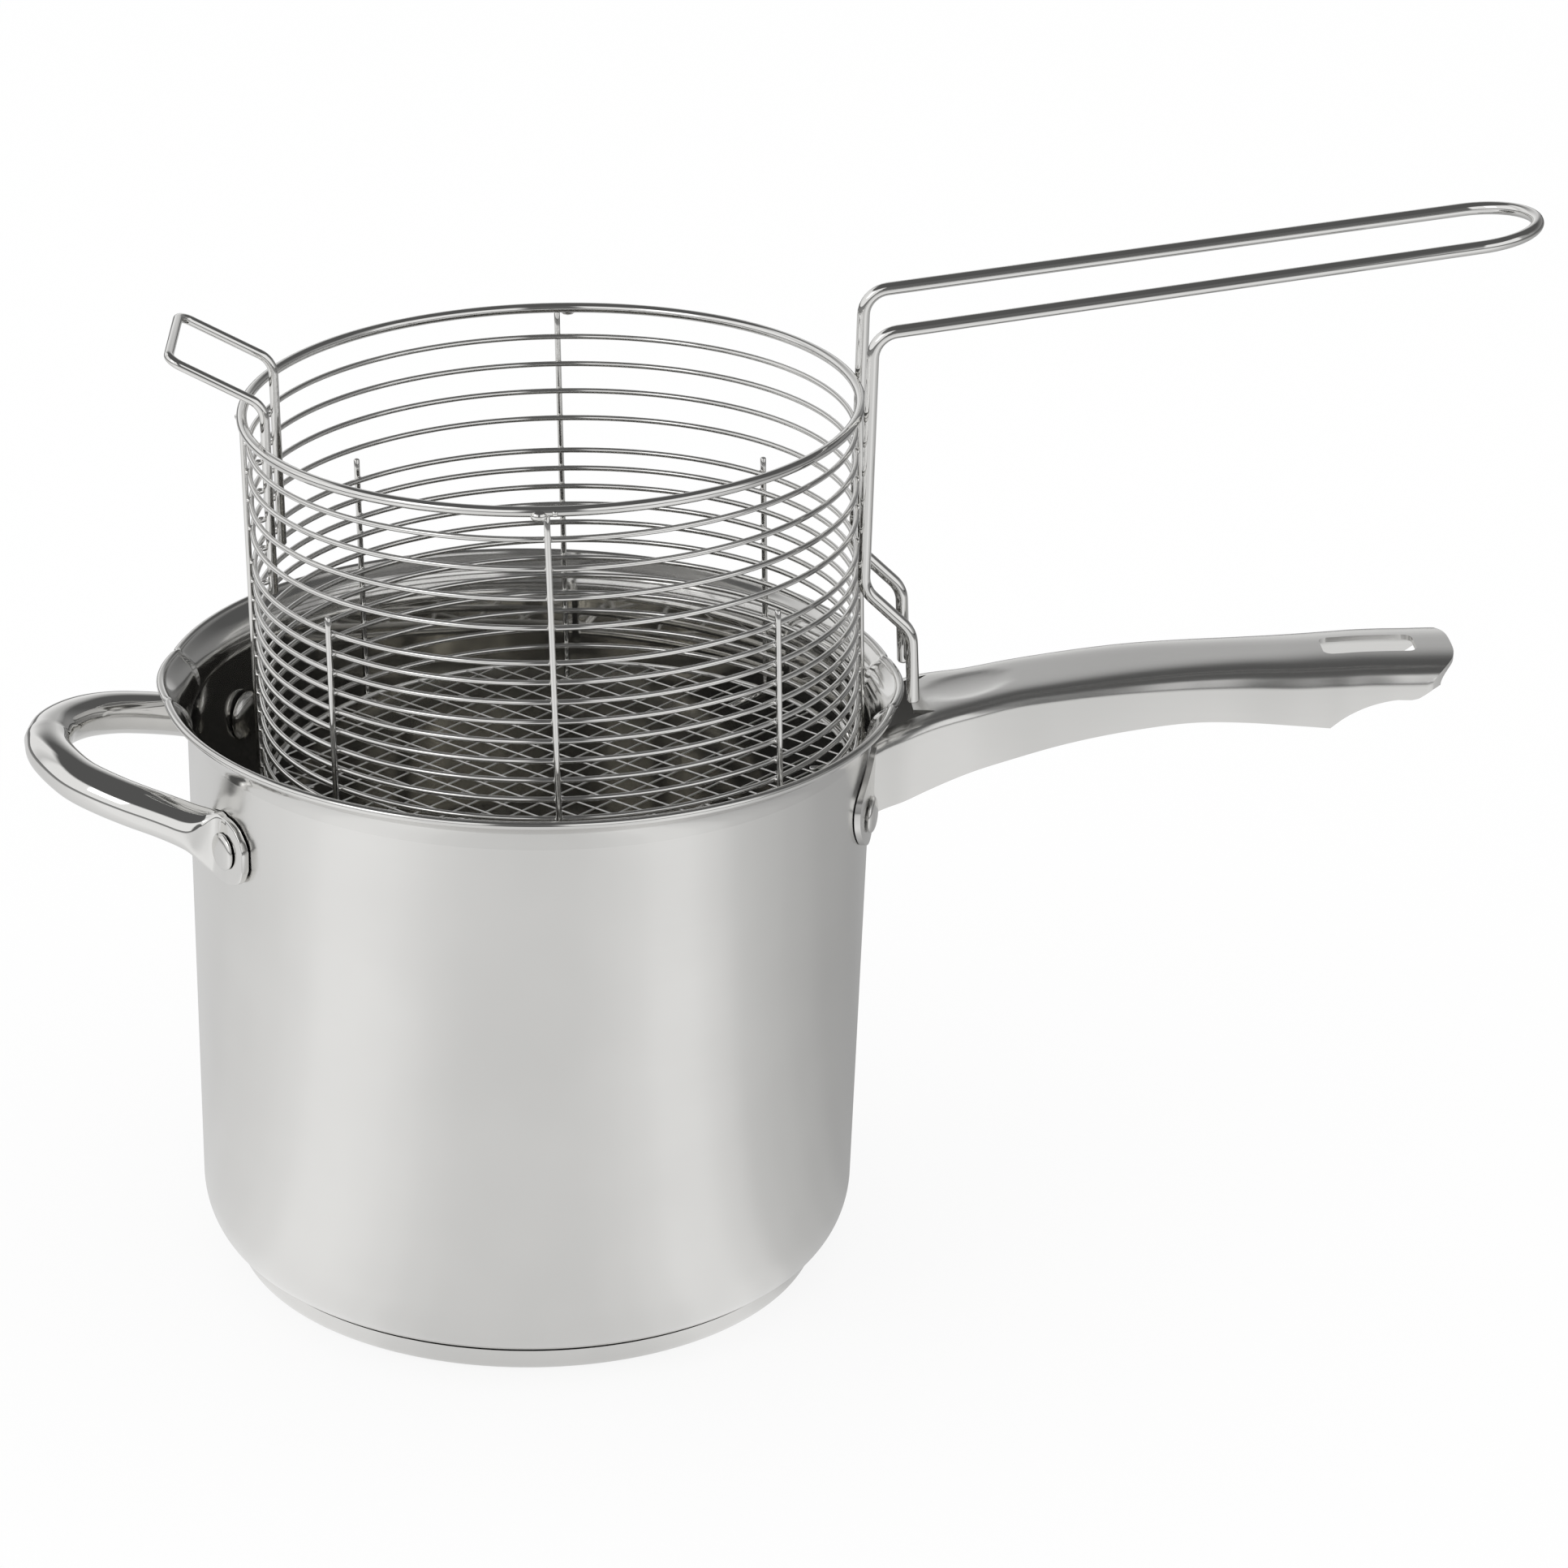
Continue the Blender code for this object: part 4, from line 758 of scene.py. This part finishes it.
# ---------------------------------------------------------------------------
# Hook loop. One bent wire on the far side from the grip: two legs welded inside
# the rings, turned outward and up over the basket's rim into a square loop.
# ---------------------------------------------------------------------------
hook_turn = Matrix.Rotation(math.radians(-2.5), 3, "Z")
hook_wire, hook_side, hook_foot = 1.4 * mm, 19.9, 68.4
# Along and height, in mm, of a leg's foot, its bend and the loop's outer corner
hook_leg = [(-80.2, hook_foot), (-80.2, 124.3), (-106.4, 138.5)]
hook_corners = [Vector((along * mm, -hook_side * mm, height * mm)) for along, height in hook_leg]
hook_corners += [Vector((along * mm, hook_side * mm, height * mm))
                 for along, height in hook_leg[::-1]]
hook_path = [hook_turn @ point for point in bent(hook_corners, [7 * mm, 4 * mm, 4 * mm, 7 * mm])]
shape = bmesh.new()
shape.from_mesh(drawn_wire("hook_wire", hook_path, hook_wire, False, 20))
for leg in (hook_path[0], hook_path[-1]):
    for level in ring_heights:
        if level > hook_foot * mm:
            spot_weld(shape, math.degrees(math.atan2(leg.y, leg.x)), ring_radius - 1.6 * mm, level,
                      (1.5 * mm, 1.2 * mm, 0.9 * mm))
hook_data = bpy.data.meshes.new("hook_wire")
shape.to_mesh(hook_data)
shape.free()
finished("hook_wire", hook_data, "basket", ["hook_loop"], [grip_metal], 60)

# ---------------------------------------------------------------------------
# Studio. A white floor and backdrop, a dark ceiling over the camera and soft
# pale sides, which the polished steel mirrors, and the photograph's camera.
# ---------------------------------------------------------------------------
# Brightness by direction round the pot, of the paper and of the room above it. The
# stops are in degrees: 0 lies toward the camera, 90 to the right and 180 behind.
round_tone = bpy.data.node_groups.new("round_tone", "ShaderNodeTree")
sockets(round_tone, "INPUT", Way="NodeSocketVector")
sockets(round_tone, "OUTPUT", Paper="NodeSocketFloat", Room="NodeSocketFloat")
taken = round_tone.nodes.new("NodeGroupInput")
given = round_tone.nodes.new("NodeGroupOutput")
apart = round_tone.nodes.new("ShaderNodeSeparateXYZ")
toward = round_tone.nodes.new("ShaderNodeMath")
toward.operation = "MULTIPLY"
toward.inputs[1].default_value = -1
turn_of = round_tone.nodes.new("ShaderNodeMath")
turn_of.operation = "ARCTAN2"
scaled = round_tone.nodes.new("ShaderNodeMath")
scaled.operation = "MULTIPLY_ADD"
scaled.inputs[1].default_value = 1 / math.tau
scaled.inputs[2].default_value = 0.5
link = round_tone.links.new
link(taken.outputs[0], apart.inputs[0])
link(apart.outputs[1], toward.inputs[0])
link(apart.outputs[0], turn_of.inputs[0])
link(toward.outputs[0], turn_of.inputs[1])
link(turn_of.outputs[0], scaled.inputs[0])
for socket, easing, stops in (
        ("Paper", "EASE", (
            (-180, 0.5), (-160, 0.62), (-133, 0.68), (-119, 0.7), (-101, 0.772),
            (-87, 0.826), (-75, 0.893), (-64, 0.998), (-54, 1), (-45, 0.974), (-37, 0.916),
            (-28, 0.826), (-20, 0.772), (-12, 0.751), (-4, 0.741), (12, 0.741),
            (20, 0.783), (29, 0.859), (37, 0.95), (46, 0.95), (56, 0.826), (66, 0.641),
            (77, 0.566), (89, 0.486), (105, 0.389), (128, 0.336), (155, 0.36), (180, 0.5))),
        ("Room", "LINEAR", (
            (-180, 0.93), (-150, 0.95), (-130, 0.95), (-116, 0.7), (-109, 1), (-17, 1),
            (-12, 0.15), (6, 0.15), (11, 1), (69, 1), (75, 0.42), (96, 0.4), (110, 0.25),
            (156, 0.28), (168, 0.88), (180, 0.93)))):
    ramp = round_tone.nodes.new("ShaderNodeValToRGB")
    ramp.color_ramp.interpolation = easing
    for number, (azimuth, value) in enumerate(stops):
        share = (azimuth + 180) / 360
        stop = (ramp.color_ramp.elements[-1 if number else 0] if number in (0, len(stops) - 1)
                else ramp.color_ramp.elements.new(share))
        stop.position = share
        stop.color = (value, value, value, 1)
    link(scaled.outputs[0], ramp.inputs["Fac"])
    link(ramp.outputs["Color"], given.inputs[socket])

floor_data = bpy.data.meshes.new("floor")
floor_data.from_pydata([(-9, -9, 0), (9, -9, 0), (9, 9, 0), (-9, 9, 0)], [], [(0, 1, 2, 3)])
floor = bpy.data.objects.new("floor", floor_data)
bpy.context.scene.collection.objects.link(floor)
paper = bpy.data.materials.new("white_paper")
paper.use_nodes = True
tree = paper.node_tree
surface = tree.nodes["Principled BSDF"]
surface.inputs["Base Color"].default_value = (1, 1, 1, 1)
surface.inputs["Roughness"].default_value = 0.9
glow = tree.nodes.new("ShaderNodeEmission")
place = tree.nodes.new("ShaderNodeNewGeometry")
tone = tree.nodes.new("ShaderNodeGroup")
tone.node_tree = round_tone
rays = tree.nodes.new("ShaderNodeLightPath")
tree.links.new(place.outputs["Position"], tone.inputs[0])


def feed(sockets_in, values):
    """Set each socket of the current tree to its number, or link its source to it."""
    for socket, value in zip(sockets_in, values):
        if isinstance(value, (int, float)):
            socket.default_value = value
        else:
            tree.links.new(value, socket)


def math_node(operation, *values):
    """One Math node of the current tree."""
    node = tree.nodes.new("ShaderNodeMath")
    node.operation = operation
    feed(node.inputs, values)
    return node.outputs[0]


def spread_over(value, start, end, at_start, at_end):
    """One smooth Map Range node of the current tree."""
    node = tree.nodes.new("ShaderNodeMapRange")
    node.interpolation_type = "SMOOTHSTEP"
    feed(node.inputs, (value, start, end, at_start, at_end))
    return node.outputs[0]


# The camera sees plain white; mirrors see the paper's tone, which fades far away
distance = tree.nodes.new("ShaderNodeVectorMath")
distance.operation = "LENGTH"
tree.links.new(place.outputs["Position"], distance.inputs[0])
far_away = spread_over(distance.outputs["Value"], 0.9, 1.6, 1, 0.15)
tree.links.new(math_node("MAXIMUM", rays.outputs["Is Camera Ray"],
                         math_node("MULTIPLY", tone.outputs["Paper"], far_away)),
               glow.inputs["Color"])
seen = math_node("MAXIMUM", rays.outputs["Is Camera Ray"], rays.outputs["Is Glossy Ray"])
blend = tree.nodes.new("ShaderNodeMixShader")
tree.links.new(math_node("MULTIPLY", seen, 0.85), blend.inputs["Fac"])
tree.links.new(surface.outputs[0], blend.inputs[1])
tree.links.new(glow.outputs[0], blend.inputs[2])
tree.links.new(blend.outputs[0], tree.nodes["Material Output"].inputs["Surface"])
floor_data.materials.append(paper)

world = bpy.data.worlds.new("studio")
bpy.context.scene.world = world
world.use_nodes = True
tree = world.node_tree
tree.nodes.clear()
way = tree.nodes.new("ShaderNodeTexCoord")
tone = tree.nodes.new("ShaderNodeGroup")
tone.node_tree = round_tone
tree.links.new(way.outputs["Generated"], tone.inputs[0])
apart = tree.nodes.new("ShaderNodeSeparateXYZ")
tree.links.new(way.outputs["Generated"], apart.inputs[0])
# Soft pale sides up to half height, a backdrop behind that fades from the horizon up,
# a dim ceiling, and a thin dark line where the room meets the paper
behind = math_node("MULTIPLY_ADD", apart.outputs["X"], 0.6, apart.outputs["Y"])
fade_start = spread_over(behind, 0.3, 0.6, 0.66, 0.1)
lit = math_node("MULTIPLY", tone.outputs["Room"],
                spread_over(apart.outputs["Z"], fade_start, 0.77, 1, 0))
lit = math_node("MULTIPLY", math_node("MAXIMUM", lit, 0.11),
                spread_over(apart.outputs["Z"], 0, 0.05, 0.15, 1))
rays = tree.nodes.new("ShaderNodeLightPath")
level = math_node("MAXIMUM", lit, rays.outputs["Is Camera Ray"])
level = math_node("MAXIMUM", level, rays.outputs["Is Diffuse Ray"])
sky = tree.nodes.new("ShaderNodeBackground")
tree.links.new(level, sky.inputs["Color"])
sky.inputs["Strength"].default_value = 1
output = tree.nodes.new("ShaderNodeOutputWorld")
tree.links.new(sky.outputs[0], output.inputs["Surface"])

# One soft lamp at the left casts the floor's shadow
lamp_data = bpy.data.lights.new("left_box", "AREA")
lamp_data.size = 0.8
lamp_data.energy = 2.6
lamp = bpy.data.objects.new("left_box", lamp_data)
lamp.location = (-1.5, -1.1, 1.4)
lamp.rotation_euler = (Vector((0, 0, 0.12)) - lamp.location).to_track_quat("-Z", "Y").to_euler()
bpy.context.scene.collection.objects.link(lamp)

# The camera, solved from the photograph
pitch, yaw, roll = (math.radians(angle) for angle in (23.066, 4.595, 1.558))
ahead = Vector((math.sin(yaw) * math.cos(pitch), math.cos(yaw) * math.cos(pitch),
                -math.sin(pitch)))
right = Vector((math.cos(yaw), -math.sin(yaw), 0))
above = right.cross(ahead)
side_axis = right * math.cos(roll) + above * math.sin(roll)
up_axis = above * math.cos(roll) - right * math.sin(roll)
camera_data = bpy.data.cameras.new("camera")
camera_data.sensor_width = 36
camera_data.lens = 122.98
camera_data.clip_start = 0.05
camera_data.clip_end = 60
camera = bpy.data.objects.new("camera", camera_data)
bpy.context.scene.collection.objects.link(camera)
camera_place = (-0.04175, -1.44696, 0.76603)
camera.matrix_world = (Matrix.Translation(camera_place)
                       @ Matrix((side_axis, up_axis, -ahead)).transposed().to_4x4())
bpy.context.scene.camera = camera
bpy.context.scene.view_settings.view_transform = "Standard"
